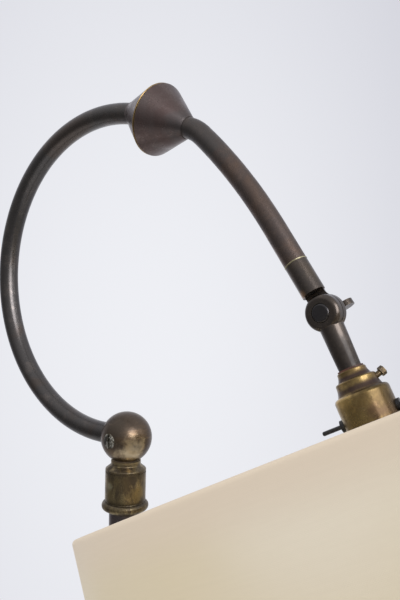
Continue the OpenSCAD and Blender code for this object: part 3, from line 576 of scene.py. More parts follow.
@dataclass(frozen=True)
class MouldedFinish(Finish):
    """Moulded plastic, fibre, porcelain, paint or sheathing: a mottled tone with rubbed edges."""

    tone: Colour
    other: Colour
    rough: float = 0.35
    grain: float = 260.0
    depth: float = 0.03 * MM
    coat: float = 0.0
    wear: float = 0.25
    wear_radius: float = 0.5 * MM
    rubbed: Colour = (0.25, 0.24, 0.23)
    cover: float = 0.5
    stain_share: float = 0.4
    speckle: float = 0.2
    smoother: float = 0.07
    rougher: float = 0.1

    def draw(self, s: Sketch, shader: bpy.types.Node) -> None:
        """Fills in the shader's sockets.

        Args:
            s: the material's tree.
            shader: its principled shader.
        """
        place = s.put("ShaderNodeTexCoord").outputs["Object"]
        feeds = {"Position": place, "Bare": self.tone, "Film": self.other, "Stain": self.other}
        feeds.update({"Blotch": self.grain, "Cover": self.cover})
        feeds.update({"Stain Share": self.stain_share, "Speckle": self.speckle})
        skin = TARNISH.place(s, feeds)
        edge = EDGE_WEAR.place(s, {"Position": place, "Radius": self.wear_radius})["Mask"]
        colour = s.tint(s.calc("MULTIPLY", edge, self.wear), skin["Color"], self.rubbed)
        s.feed(shader.inputs["Base Color"], colour)
        smooth, coarse = self.rough - self.smoother, self.rough + self.rougher
        rough = s.span(skin["Height"], low=0.2, high=0.8, start=smooth, end=coarse)
        s.feed(shader.inputs["Roughness"], rough)
        shader.inputs["Coat Weight"].default_value = self.coat
        self.bump(s, shader, skin["Height"], self.depth)


@dataclass(frozen=True)
class ClothFinish(Finish):
    """Closely woven cloth laminated on card, with a faint yellowing and marks of painted shade and light."""

    tone: Colour
    aged: Colour
    flush: Colour
    marks: tuple[Mark, ...] = ()
    pitch: float = 0.42 * MM
    depth: float = 0.03 * MM
    relief: float = 0.6
    sheen: float = 0.15
    gloss: float = 0.25
    rough: float = 0.78
    swing: float = 0.06
    ragged: float = 0.1
    rim_starts: float = 22 * MM
    rim_full: float = 2 * MM
    rim_share: float = 0.9
    slub: Colour = (0.42, 0.36, 0.27)
    slub_share: float = 0.025

    def draw(self, s: Sketch, shader: bpy.types.Node) -> None:
        """Fills in the shader's sockets.

        Args:
            s: the material's tree.
            shader: its principled shader.
        """
        where = s.put("ShaderNodeTexCoord").outputs
        threads = WEAVE.place(s, {"Cloth": where["UV"], "Pitch": self.pitch})
        place = where["Object"]
        broad = s.cloud(place, scale=5.0, detail=2.0, rough=0.5, warp=0.4)
        colour = s.tint(s.span(broad, low=0.4, high=0.68), self.tone, self.aged)
        # Marks tint the cloth: yellowing, painted shade and a painted pool of light.
        for mark in self.marks:
            feeds = {"Position": place, "Centre": mark.centre, "Reach": mark.reach, "Ragged": self.ragged}
            spot = PATCH.place(s, feeds)["Mask"]
            colour = s.tint(s.calc("MULTIPLY", spot, mark.strength), colour, mark.tint)
        rows = s.put("ShaderNodeSeparateXYZ", {0: where["UV"]}).outputs["Y"]
        rim = s.span(rows, low=self.rim_starts, high=self.rim_full, end=self.rim_share)
        colour = s.tint(rim, colour, self.flush)
        colour = s.tint(s.calc("MULTIPLY", threads["Tone"], self.slub_share), colour, self.slub)
        smooth, coarse = self.rough - self.swing, self.rough + self.swing
        rough = s.span(threads["Tone"], low=0.0, high=1.0, start=smooth, end=coarse)
        s.feed(shader.inputs["Base Color"], colour)
        s.feed(shader.inputs["Roughness"], rough)
        shader.inputs["Sheen Weight"].default_value = self.sheen
        shader.inputs["Specular IOR Level"].default_value = self.gloss
        self.bump(s, shader, threads["Height"], self.depth, self.relief)


@dataclass(frozen=True)
class FeltFinish(Finish):
    """Pressed felt: matted fibres with a soft nap."""

    tone: Colour
    nap: Colour
    sheen: float = 0.4
    depth: float = 0.4 * MM

    def draw(self, s: Sketch, shader: bpy.types.Node) -> None:
        """Fills in the shader's sockets.

        Args:
            s: the material's tree.
            shader: its principled shader.
        """
        place = s.put("ShaderNodeTexCoord").outputs["Object"]
        hairs = s.cloud(place, scale=1400.0, detail=6.0, rough=0.75, warp=1.6)
        tufts = s.cloud(place, scale=240.0, detail=4.0, rough=0.6)
        colour = s.tint(s.span(hairs, low=0.35, high=0.65), self.tone, self.nap)
        colour = s.tint(s.span(tufts, low=0.4, high=0.7, end=0.5), colour, self.tone)
        s.feed(shader.inputs["Base Color"], colour)
        s.feed(shader.inputs["Roughness"], s.span(tufts, low=0.3, high=0.7, start=0.88))
        shader.inputs["Sheen Weight"].default_value = self.sheen
        self.bump(s, shader, hairs, self.depth)


@dataclass(frozen=True)
class OpalFinish(Finish):
    """Opal lamp glass, milky with a faint cloudiness."""

    tone: Colour
    milk: Colour
    clear: float = 0.3
    ior: float = 1.5
    coat: float = 0.4

    def draw(self, s: Sketch, shader: bpy.types.Node) -> None:
        """Fills in the shader's sockets.

        Args:
            s: the material's tree.
            shader: its principled shader.
        """
        place = s.put("ShaderNodeTexCoord").outputs["Object"]
        mist = s.cloud(place, scale=45.0, detail=4.0, rough=0.5, warp=0.5)
        colour = s.tint(s.span(mist, low=0.35, high=0.65), self.tone, self.milk)
        s.feed(shader.inputs["Base Color"], colour)
        s.feed(shader.inputs["Roughness"], s.span(mist, low=0.3, high=0.7, start=0.16, end=0.3))
        shader.inputs["Transmission Weight"].default_value = self.clear
        shader.inputs["IOR"].default_value = self.ior
        shader.inputs["Coat Weight"].default_value = self.coat


CONE_AXIS: Point = (0.9478, 0.0, -0.319)
HEAD_AXIS: Point = (0.4695, 0.0, -0.8829)
UPRIGHT: Point = (0.0, 0.0, 1.0)
LOOP_BRONZE = MetalFinish(
    "loop_bronze", bare=(0.168, 0.147, 0.136), film=(0.104, 0.097, 0.095), stain=(0.12, 0.09, 0.074),
    cover=0.68, polish=0.2, dull=0.29, speckle=0.12, depth=0.006 * MM,
)
CONE_BRONZE = MetalFinish(
    "cone_bronze", bare=(0.168, 0.125, 0.117), film=(0.116, 0.083, 0.078), stain=(0.15, 0.134, 0.13),
    cover=0.6, axis=CONE_AXIS, wear=0.05, dust=0.4, grime_and_shade=0.25, polish=0.24, dull=0.36, depth=0.006 * MM,
    speckle=0.12,
    marks=(Mark((0.0475, -0.004, 1.3969), 0.018, (0.098, 0.095, 0.096), 0.6),),
    rings=(Ring(CONE_AXIS, -0.4276, 0.001, (0.42, 0.28, 0.1), 0.9),),
)
ARM_BRONZE = MetalFinish(
    "arm_bronze", bare=(0.163, 0.121, 0.102), film=(0.11, 0.088, 0.08), stain=(0.172, 0.112, 0.08),
    cover=0.55, speckle=0.14, depth=0.008 * MM,
    marks=(Mark((0.058, -0.005, 1.391), 0.026, (0.092, 0.09, 0.089), 0.65),),
)
KNUCKLE_BRONZE = MetalFinish(
    "knuckle_bronze", bare=(0.14, 0.112, 0.09), film=(0.085, 0.071, 0.062), stain=(0.11, 0.085, 0.065),
    grime_and_shade_tone=(0.09, 0.062, 0.042), cover=0.62, polish=0.2, dull=0.3, coat=0.4, wear=0.12, depth=0.004 * MM,
    speckle=0.1,
    # Bare brass at the ferrule's corner, painted bright as a glint in the gap under the sleeve.
    marks=(Mark((0.1262, -0.0045, 1.3022), 0.0032, (0.34, 0.19, 0.09), 0.6),),
    # Painted shade: this ring darkens and dulls the stub to dim its reflection.
    rings=(Ring(HEAD_AXIS, -1.053, 0.016, (0.055, 0.046, 0.041), 0.85, 0.42),),
)
PIVOT_BRONZE = MetalFinish(
    "pivot_bronze", bare=(0.09, 0.085, 0.088), film=(0.06, 0.057, 0.06), stain=(0.08, 0.065, 0.055),
    cover=0.62, polish=0.24, dull=0.32, coat=0.3, wear=0.0, depth=0.004 * MM, speckle=0.08,
)
STAND_BRONZE = MetalFinish(
    "stand_bronze", bare=(0.18, 0.135, 0.095), film=(0.095, 0.078, 0.064), stain=(0.14, 0.1, 0.06),
    cover=0.6, axis=UPRIGHT, pitch=0.8 * MM, dust=0.25,
)
POLE_BRONZE = MetalFinish(
    "pole_bronze", bare=(0.2, 0.162, 0.155), film=(0.12, 0.099, 0.098), stain=(0.16, 0.12, 0.1), cover=0.6
)
AGED_BRASS = MetalFinish(
    "aged_brass_finish", bare=(0.34, 0.26, 0.13), film=(0.1, 0.076, 0.052), stain=(0.2, 0.15, 0.07),
    blotch=170.0, cover=0.62, stain_share=0.5, polish=0.24, dull=0.46, dust=0.2, axis=UPRIGHT, pitch=0.6 * MM,
)
COLLAR_BRASS = MetalFinish(
    "collar_brass", bare=(0.4, 0.31, 0.16), film=(0.125, 0.096, 0.062), stain=(0.24, 0.18, 0.08),
    blotch=240.0, cover=0.58, stain_share=0.6, polish=0.26, dull=0.42, dust=0.15, axis=UPRIGHT,
    pitch=0.6 * MM, stretch=(1.0, 1.0, 0.35), marks=(
        Mark((-0.0014, -0.0127, 1.1798), 0.0038, (0.5, 0.46, 0.3), 0.75),
        Mark((0.0127, -0.0019, 1.1759), 0.006, (0.42, 0.31, 0.13), 0.6),
    ),
    rings=(
        Ring(UPRIGHT, 1.169, 0.0035, (0.075, 0.058, 0.036), 0.7),
        Ring(UPRIGHT, 1.1882, 0.0045, (0.09, 0.07, 0.045), 0.45),
        # Painted light: this bright ring lifts the neck out of the shade under the ball.
        Ring(UPRIGHT, 1.1948, 0.003, (0.5, 0.39, 0.21), 0.45),
    ),
)
BALL_BRASS = MetalFinish(
    "ball_brass", bare=(0.25, 0.18, 0.113), film=(0.12, 0.09, 0.067), stain=(0.17, 0.115, 0.07),
    blotch=230.0, cover=0.72, stain_share=0.6, speckle=0.3, polish=0.22, dull=0.33, dust=0.08, axis=UPRIGHT,
    pitch=0.9 * MM, depth=0.024 * MM, stretch=(0.4, 0.4, 1.8), marks=(
        # A brass patch on the lower front, painted bright as a second highlight.
        Mark((0.0115, -0.0076, 1.2034), 0.0105, (0.78, 0.63, 0.41), 0.7),
        Mark((0.0021, -0.0126, 1.2164), 0.010, (0.075, 0.062, 0.05), 0.55),
    ),
)
HOLDER_BRASS = MetalFinish(
    "holder_brass", bare=(0.31, 0.222, 0.09), film=(0.225, 0.154, 0.058), stain=(0.15, 0.092, 0.056),
    grime_and_shade_tone=(0.05, 0.03, 0.03), blotch=100.0, cover=0.5, stain_share=0.45, speckle=0.07, polish=0.28, dull=0.36,
    axis=HEAD_AXIS, pitch=0.5 * MM, grime_and_shade=0.95, grime_and_shade_reach=4.5 * MM, wear=0.12, glint=(0.5, 0.38, 0.18),
    coat=0.2, depth=0.005 * MM, marks=(
        # Painted light: the dark marks paint shade over the barrel's middle and right and dim its reflected
        # highlight; the bright marks paint highlights on its left.
        Mark((0.1684, -0.011, 1.2517), 0.007, (0.14, 0.08, 0.05), 0.65),
        Mark((0.1725, -0.0055, 1.2525), 0.012, (0.085, 0.05, 0.03), 0.85),
        Mark((0.1524, -0.0132, 1.2535), 0.0085, (0.72, 0.5, 0.19), 0.8),
        Mark((0.1685, -0.0068, 1.258), 0.011, (0.105, 0.07, 0.028), 0.92),
        Mark((0.1515, -0.011, 1.2587), 0.005, (0.66, 0.47, 0.2), 0.75),
    ),
    # Painted shade: these rings darken the foot of each cap step.
    rings=(
        Ring(HEAD_AXIS, -1.0437, 0.0018, (0.055, 0.034, 0.036), 0.85),
        Ring(HEAD_AXIS, -1.0378, 0.0027, (0.055, 0.034, 0.036), 0.85),
    ),
)
SCREW_BRASS = MetalFinish(
    "screw_brass", bare=(0.24, 0.18, 0.09), film=(0.085, 0.063, 0.045), stain=(0.13, 0.09, 0.05),
    blotch=300.0, cover=0.6, polish=0.28, dull=0.42, wear=0.5, glint=(0.4, 0.31, 0.16),
)
STEEL = MetalFinish(
    "screw_steel", bare=(0.46, 0.45, 0.44), film=(0.34, 0.33, 0.32), stain=(0.22, 0.16, 0.11),
    blotch=200.0, cover=0.5, stain_share=0.3, polish=0.28, dull=0.4, coat=0.0,
)
PLUG_METAL = MetalFinish(
    "pitted_plug", bare=(0.62, 0.6, 0.54), film=(0.08, 0.075, 0.06), stain=(0.3, 0.27, 0.2),
    blotch=520.0, cover=0.55, stain_share=0.4, polish=0.34, dull=0.6, depth=0.5 * MM, coat=0.0, wear=0.4,
    marks=(Mark((-0.0034, -0.0155, 1.2085), 0.0034, (0.05, 0.042, 0.034), 0.92),),
)
CAST_IRON = MetalFinish(
    "cast_iron", bare=(0.1, 0.1, 0.105), film=(0.05, 0.05, 0.055), stain=(0.11, 0.06, 0.03),
    blotch=140.0, metallic=0.6, polish=0.5, dull=0.7, depth=0.4 * MM, coat=0.0, wear=0.1,
)
SEAM_METAL = MetalFinish(
    "seam_metal", bare=(0.5, 0.46, 0.3), film=(0.3, 0.28, 0.18), stain=(0.2, 0.16, 0.08),
    blotch=380.0, cover=0.5, polish=0.3, dull=0.5,
)
BLACK_MOULDING = MouldedFinish(
    "black_moulding", tone=(0.012, 0.012, 0.015), other=(0.02, 0.019, 0.02), rough=0.3,
    rubbed=(0.1, 0.1, 0.105),
)
RED_FIBRE = MouldedFinish(
    "red_fibre", tone=(0.13, 0.05, 0.03), other=(0.08, 0.032, 0.022), rough=0.6, rubbed=(0.2, 0.1, 0.06)
)
DARK_FIBRE = MouldedFinish(
    "dark_fibre", tone=(0.035, 0.026, 0.021), other=(0.024, 0.018, 0.015), rough=0.65,
    rubbed=(0.1, 0.08, 0.06),
)
BROWN_FIBRE = MouldedFinish(
    "brown_fibre", tone=(0.14, 0.098, 0.055), other=(0.085, 0.06, 0.036), rough=0.5, rubbed=(0.22, 0.16, 0.09)
)
SHEATH = MouldedFinish("flex_sheath", tone=(0.02, 0.02, 0.021), other=(0.032, 0.031, 0.03), rough=0.55)
WHITE_CORE = MouldedFinish(
    "white_core_finish", tone=(0.76, 0.73, 0.67), other=(0.66, 0.62, 0.54), rough=0.25, coat=0.3,
    rubbed=(0.82, 0.8, 0.76),
)
WIRE_PAINT = MouldedFinish(
    "wire_paint", tone=(0.72, 0.67, 0.57), other=(0.6, 0.55, 0.45), rough=0.4, coat=0.15,
    rubbed=(0.4, 0.38, 0.35),
)
SHADE_CLOTH = ClothFinish(
    "shade_cloth", tone=(0.8, 0.712, 0.57), aged=(0.78, 0.685, 0.52), flush=(0.765, 0.65, 0.525),
    marks=(
        # The first mark yellows the cloth and darkens it as painted shade toward the lower left; the second
        # is a painted pool of light on the front.
        Mark((0.145, -0.147, 1.211), 0.06, (0.755, 0.65, 0.465), 0.8),
        Mark((0.2035, -0.1432, 1.2535), 0.04, (0.845, 0.765, 0.635), 0.75),
    ),
)
SHADE_LINING = ClothFinish(
    "shade_lining", tone=(0.8, 0.76, 0.68), aged=(0.77, 0.71, 0.6), flush=(0.79, 0.73, 0.63),
    sheen=0.05, rough=0.6,
)
GREEN_FELT = FeltFinish("green_felt", tone=(0.035, 0.05, 0.036), nap=(0.075, 0.1, 0.075))
OPAL = OpalFinish("opal_glass", tone=(0.93, 0.925, 0.9), milk=(0.86, 0.85, 0.82))


def mesh_object(
    name: str, verts: Sequence[Point], faces: Sequence[Sequence[int]], finishes: Sequence[Finish]
) -> bpy.types.Object:
    """Makes a smooth-shaded object in the row frame.

    Args:
        name: the piece's name.
        verts: its points, in metres.
        faces: its faces, as lists of point numbers.
        finishes: one finish for each material slot.

    Returns:
        The new object, linked to the scene.
    """
    mesh = bpy.data.meshes.new(name)
    mesh.from_pydata(verts, [], faces)
    for finish in finishes:
        mesh.materials.append(finish.material())
    for face in mesh.polygons:
        face.use_smooth = True
    mesh.validate()
    made = bpy.data.objects.new(name, mesh)
    bpy.context.scene.collection.objects.link(made)
    return made


def full_turn(count: int) -> list[float]:
    """Returns the angles of so many equal steps round a circle."""
    return [2 * math.pi * k / count for k in range(count)]


def lathe(
    name: str,
    profile: Sequence[tuple[float, float]],
    frame_of: Matrix,
    turns: Sequence[float],
    finishes: Sequence[Finish],
    shift: Optional[Callable[[float, int], float]] = None,
) -> bpy.types.Object:
    """Turns a closed profile round an axis.

    Args:
        name: the piece's name.
        profile: points (radius, distance along the axis), anticlockwise as seen with the axis up.
        frame_of: places the axis, its local Z, in the row frame.
        turns: the angles of the profile's copies, in radians, in rising order.
        finishes: one finish for each material slot.
        shift: how far each point moves out, by angle and profile point.

    Returns:
        The turned piece.
    """
    count = len(profile)
    verts, faces = [], []
    for angle in turns:
        for number, (radius, along) in enumerate(profile):
            out = radius + (shift(angle, number) if shift else 0.0)
            verts.append(frame_of @ Vector((out * math.cos(angle), out * math.sin(angle), along)))
    for turn in range(len(turns)):
        here, there = turn * count, (turn + 1) % len(turns) * count
        for number in range(count):
            after = (number + 1) % count
            faces.append((here + number, there + number, there + after, here + after))
    return mesh_object(name, verts, faces, finishes)


@dataclass
class SubAssembly:
    """A group of CAD nodes with their finishes, and the pieces that the scene adds to it."""

    finishes: dict[str, Finish] = field(default_factory=dict)

    def dress(self) -> None:
        """Gives each CAD node its finish."""
        for node, finish in self.finishes.items():
            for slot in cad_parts[node].material_slots:
                slot.material = finish.material()
            LOG.info("%s: %s", node, finish.name)

    def build(self) -> None:
        """Builds the pieces that the scene adds; most sub-assemblies add none."""

    def finish_piece(self, piece: bpy.types.Object, body: Body, slot: Slot, *nodes: str) -> bpy.types.Object:
        """Ties a new piece to the frame.

        Args:
            piece: the new piece.
            body: the body it rides on.
            slot: not used.
            nodes: the CAD nodes it stands for.

        Returns:
            The same piece.
        """
        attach(piece, body.value)
        if nodes:
            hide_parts(*nodes)
        LOG.info("%s rides on %s", piece.name, body.value)
        return piece


@dataclass
class Foot(SubAssembly):
    """The weighted foot with its felt disc."""

    felt_radius: float = 137 * MM
    felt_thick: float = 2 * MM
    hole_radius: float = 6 * MM
    lift: float = 0.05 * MM
    rim_round: float = 0.9 * MM
    rim_flat: float = 1.2 * MM
    rim_steps: int = 8
    middle_share: float = 0.55
    fray: float = 0.35 * MM
    fray_waves: float = 21.0
    fray_rows: float = 0.03
    spokes: int = 220
    finishes: dict[str, Finish] = field(default_factory=lambda: {
        "base_weight": CAST_IRON, "base_shell": STAND_BRONZE, "base_nipple": STEEL, "base_nut": STEEL,
        "cord_gland": BLACK_MOULDING,
    })

    def build(self) -> None:
        """Cuts the felt disc, with a softly rounded, slightly frayed rim."""
        rim, thick, lift, bend = self.felt_radius, self.felt_thick, self.lift, self.rim_round
        flats = (self.hole_radius, rim * self.middle_share, rim - self.rim_flat)
        below = [(radius, lift) for radius in flats]
        rounding = [
            (rim - bend + bend * math.sin(t), thick / 2 - (thick / 2 - lift) * math.cos(t))
            for t in (math.pi * k / self.rim_steps for k in range(1, self.rim_steps))
        ]
        above = [(radius, thick) for radius in reversed(flats)]
        edge = range(len(below), len(below) + len(rounding))

        def pull_in(angle: float, number: int) -> float:
            """Frays the rim.

            Args:
                angle: where the point is round the disc.
                number: which point of the profile it is.

            Returns:
                How far it moves out, 0 or less.
            """
            if number not in edge:
                return 0.0
            at = Vector((math.cos(angle), math.sin(angle), number * self.fray_rows)) * self.fray_waves
            return self.fray * (noise.noise(at) - 1.0) * 0.5

        profile, turns = below + rounding + above, full_turn(self.spokes)
        disc = lathe("felt_disc", profile, Matrix.Identity(4), turns, [GREEN_FELT], pull_in)
        self.finish_piece(disc, Body.STAND, Slot.FELT, "base_pad")


@dataclass
class Column(SubAssembly):
    """The column, its clamp and the pole that slides in it."""

    finishes: dict[str, Finish] = field(default_factory=lambda: {
        "column_socket": STAND_BRONZE, "outer_column": STAND_BRONZE, "clamp_collar": AGED_BRASS,
        "guide_bush": RED_FIBRE, "clamp_screw": AGED_BRASS, "inner_pole": POLE_BRONZE,
        "pole_stop": AGED_BRASS, "top_collar": COLLAR_BRASS, "swivel_washer": BROWN_FIBRE,
        "flex_pole": SHEATH,
    })


@dataclass
class LoopArm(SubAssembly):
    """The ball, the loop and the half cone at its end."""

    finishes: dict[str, Finish] = field(default_factory=lambda: {
        "arm_ball": BALL_BRASS, "ball_plug": PLUG_METAL, "swivel_spindle": STEEL, "spindle_nut": STEEL,
        "loop_arm": LOOP_BRONZE, "inner_cone": CONE_BRONZE, "flex_loop": SHEATH,
    })


@dataclass
class OuterArm(SubAssembly):
    """The outer half cone, the bent tube and the fixed half of the knuckle."""

    seam_at: Point = (118.44 * MM, 0.0, 1318.54 * MM)
    seam_along: Point = (0.5807, 0.0, -0.8141)
    tube_radius: float = 6.3 * MM
    bead: float = 0.32 * MM
    bead_sink: float = 0.12 * MM
    bead_length: float = 1.3
    bead_sides: int = 10
    swell: float = 0.05 * MM
    swell_waves: float = 4.0
    swell_rows: float = 0.2
    spokes: int = 72
    finishes: dict[str, Finish] = field(default_factory=lambda: {
        "outer_cone": CONE_BRONZE, "cone_spindle": STEEL, "cone_nut": STEEL, "cone_washer": DARK_FIBRE,
        "outer_tube": ARM_BRONZE, "knuckle_upper": KNUCKLE_BRONZE, "flex_outer": SHEATH,
    })

    def build(self) -> None:
        """Runs the solder bead round the joint of tube and knuckle."""
        ring = self.tube_radius - self.bead_sink
        profile = [
            (ring + self.bead * math.cos(t), self.bead_length * self.bead * math.sin(t))
            for t in full_turn(self.bead_sides)
        ]

        def uneven(angle: float, number: int) -> float:
            """Returns how far the bead swells at an angle and a point of the profile."""
            at = Vector((math.cos(angle), math.sin(angle), self.swell_rows * number)) * self.swell_waves
            return self.swell * noise.noise(at)

        along = Vector(self.seam_along)
        placed = Matrix.Translation(self.seam_at) @ along.to_track_quat("Z", "Y").to_matrix().to_4x4()
        turns = full_turn(self.spokes)
        bead = lathe("ferrule_bead", profile, placed, turns, [SEAM_METAL], uneven)
        self.finish_piece(bead, Body.OUTER_ARM, Slot.AGED_BRASS)


@dataclass
class Head(SubAssembly):
    """The tilting half of the knuckle, the lampholder with its switch bar, and the lamp."""

    finishes: dict[str, Finish] = field(default_factory=lambda: {
        "knuckle_lower": KNUCKLE_BRONZE, "pivot_screw": PIVOT_BRONZE, "knuckle_washer": DARK_FIBRE,
        "wing_nut": KNUCKLE_BRONZE, "entry_washer": RED_FIBRE, "holder_cap": HOLDER_BRASS,
        "cap_screw": SCREW_BRASS, "bar_guides": BLACK_MOULDING, "push_bar": BLACK_MOULDING,
        "switch_body": BLACK_MOULDING, "terminal_screws": AGED_BRASS, "holder_skirt": HOLDER_BRASS,
        "holder_core": WHITE_CORE, "contact_plungers": AGED_BRASS, "contact_springs": STEEL,
        "shade_ring": HOLDER_BRASS, "bulb_cap": HOLDER_BRASS, "bulb_glass": OPAL, "flex_head": SHEATH,
    })


@dataclass(frozen=True)
class WallOutline:
    """The shade wall's closed profile, and which of its points are on the outside and on the lining."""

    points: list[tuple[float, float]]
    outer: range
    lining: range


@dataclass
class Shade(SubAssembly):
    """The cream shade: cloth on card, turned in over a wire ring at each end."""

    pivot: Point = (136.2074 * MM, 0.0, 1293.6240 * MM)
    lean: float = math.radians(28.0)
    top_at: float = 58.6 * MM
    height: float = 228 * MM
    top_radius: float = 149 * MM
    bottom_radius: float = 165 * MM
    wall: float = 1.1 * MM
    wall_rows: int = 24
    roll: float = 1.9 * MM
    roll_steps: int = 8
    roll_gap: float = 0.2 * MM
    turn_in: float = 9 * MM
    turn_in_gap: float = 0.3 * MM
    turn_in_step: float = 0.8 * MM
    lining_rows: int = 12
    lap_at: float = math.radians(268.0)
    lap_width: float = 13 * MM
    lap_rise: float = 0.5 * MM
    lap_edge: float = 0.002
    ripple: float = 0.18 * MM
    ripple_round: float = 2.2
    ripple_along: float = 9.0
    ripple_fade: float = 20 * MM
    steps: int = 288
    finishes: dict[str, Finish] = field(default_factory=lambda: {
        "shade_spider": WIRE_PAINT, "shade_bottom_ring": WIRE_PAINT,
    })

    def radius(self, along: float) -> float:
        """Returns the outside radius at a distance below the top rim."""
        return self.top_radius + (self.bottom_radius - self.top_radius) * along / self.height

    def outline(self) -> WallOutline:
        """Draws the wall's closed profile, from the bottom rim up the outside and down the inside.

        Returns:
            The points (radius, distance below the top rim), and which of them are outside or lining.
        """
        roll, wall, tuck = self.roll, self.wall, self.turn_in
        outside = []
        for k in range(self.wall_rows + 1):
            along = self.height - roll - (self.height - 2 * roll) * k / self.wall_rows
            outside.append((self.radius(along), along))
        top_mid, low_mid = self.radius(roll) - roll, self.radius(self.height - roll) - roll
        arc = [math.pi * k / self.roll_steps for k in range(1, self.roll_steps)]
        over = [(top_mid + roll * math.cos(t), roll - roll * math.sin(t)) for t in arc]
        flap = [(top_mid - roll + self.roll_gap, roll), (top_mid - roll + self.turn_in_gap, tuck)]
        flap.append((self.radius(tuck) - wall, tuck + self.turn_in_step))
        inside = []
        for k in range(1, self.lining_rows):
            along = tuck + (self.height - 2 * tuck) * k / self.lining_rows
            inside.append((self.radius(along) - wall, along))
        back = self.height - tuck
        under = [(self.radius(back) - wall, back - self.turn_in_step)]
        under.append((low_mid - roll + self.turn_in_gap, back))
        under.append((low_mid - roll + self.roll_gap, self.height - roll))
        round_low = [(low_mid - roll * math.cos(t), self.height - roll + roll * math.sin(t)) for t in arc]
        lined_from = len(outside + over) + 1
        lined_to = len(outside + over + flap + inside) + 1
        points = outside + over + flap + inside + under + round_low
        return WallOutline(points, range(lined_from), range(lined_from, lined_to))

    def build(self) -> None:
        """Makes the cloth wall with its lapped seam."""
        outline = self.outline()
        down = Vector((math.sin(self.lean), 0.0, -math.cos(self.lean)))
        across = Vector((math.cos(self.lean), 0.0, math.sin(self.lean)))
        sideways = down.cross(across)
        turned = Matrix((across, sideways, down)).transposed().to_4x4()
        placed = Matrix.Translation(Vector(self.pivot) + down * self.top_at) @ turned
        half = self.lap_width / (2 * self.top_radius)
        lap = [self.lap_at - half, self.lap_at - half + self.lap_edge, self.lap_at + half]
        turns = sorted(full_turn(self.steps) + lap)

        def settle(angle: float, number: int) -> float:
            """Lifts the outside for the lap and for the cloth's own ripple.

            Args:
                angle: where the point is round the shade.
                number: which point of the profile it is.

            Returns:
                How far it moves out.
            """
            if number not in outline.outer:
                return 0.0
            along, bend = outline.points[number][1], self.ripple_round
            at = Vector((bend * math.cos(angle), bend * math.sin(angle), along * self.ripple_along))
            ends = min(1.0, along / self.ripple_fade, (self.height - along) / self.ripple_fade)
            rise = self.ripple * (noise.noise(at) - 0.5) * max(0.0, ends)
            if lap[1] <= angle <= lap[2]:
                rise += self.lap_rise * (lap[2] - angle) / (lap[2] - lap[1])
            return rise

        cloths = [SHADE_CLOTH, SHADE_LINING]
        wall = lathe("shade_cloth_wall", outline.points, placed, turns, cloths, settle)
        self.map_cloth(wall, outline, turns)
        self.finish_piece(wall, Body.HEAD, Slot.CREAM_SHADE, "shade_skin")
        self.declare_cut(wall)

    def map_cloth(self, wall: bpy.types.Object, outline: WallOutline, turns: Sequence[float]) -> None:
        """Lays the weave's coordinates out in metres and lines the inside.

        Args:
            wall: the turned wall.
            outline: its profile.
            turns: its angles.
        """
        mesh, count = wall.data, len(outline.points)
        layer = mesh.uv_layers.new(name="Cloth")
        middle = (self.top_radius + self.bottom_radius) / 2
        for face in mesh.polygons:
            rows = sorted({v % count for v in face.vertices})
            columns = [v // count for v in face.vertices]
            wraps = max(columns) - min(columns) > 1
            for corner in face.loop_indices:
                column, row = divmod(mesh.loops[corner].vertex_index, count)
                turn = turns[column] + (2 * math.pi if wraps and column == 0 else 0.0)
                layer.data[corner].uv = (turn * middle, outline.points[row][1])
            if rows[0] in outline.lining:
                face.material_index = 1

    def declare_cut(self, wall: bpy.types.Object) -> None:
        """Does nothing: the wall is not declared as a sheet here.

        Args:
            wall: the finished wall; not used.
        """


@dataclass(frozen=True)
class Softbox:
    """A soft lamp that faces the subject.

    The offset is how far right, up and ahead of the subject it hangs, as the camera sees it, and the level is
    how light it makes a white wall that faces it. The last two say if metal shows it and if it lights cloth.
    """

    name: str
    offset: Point
    size: tuple[float, float]
    level: float
    colour: Colour
    mirrored: bool = True
    lights: bool = True


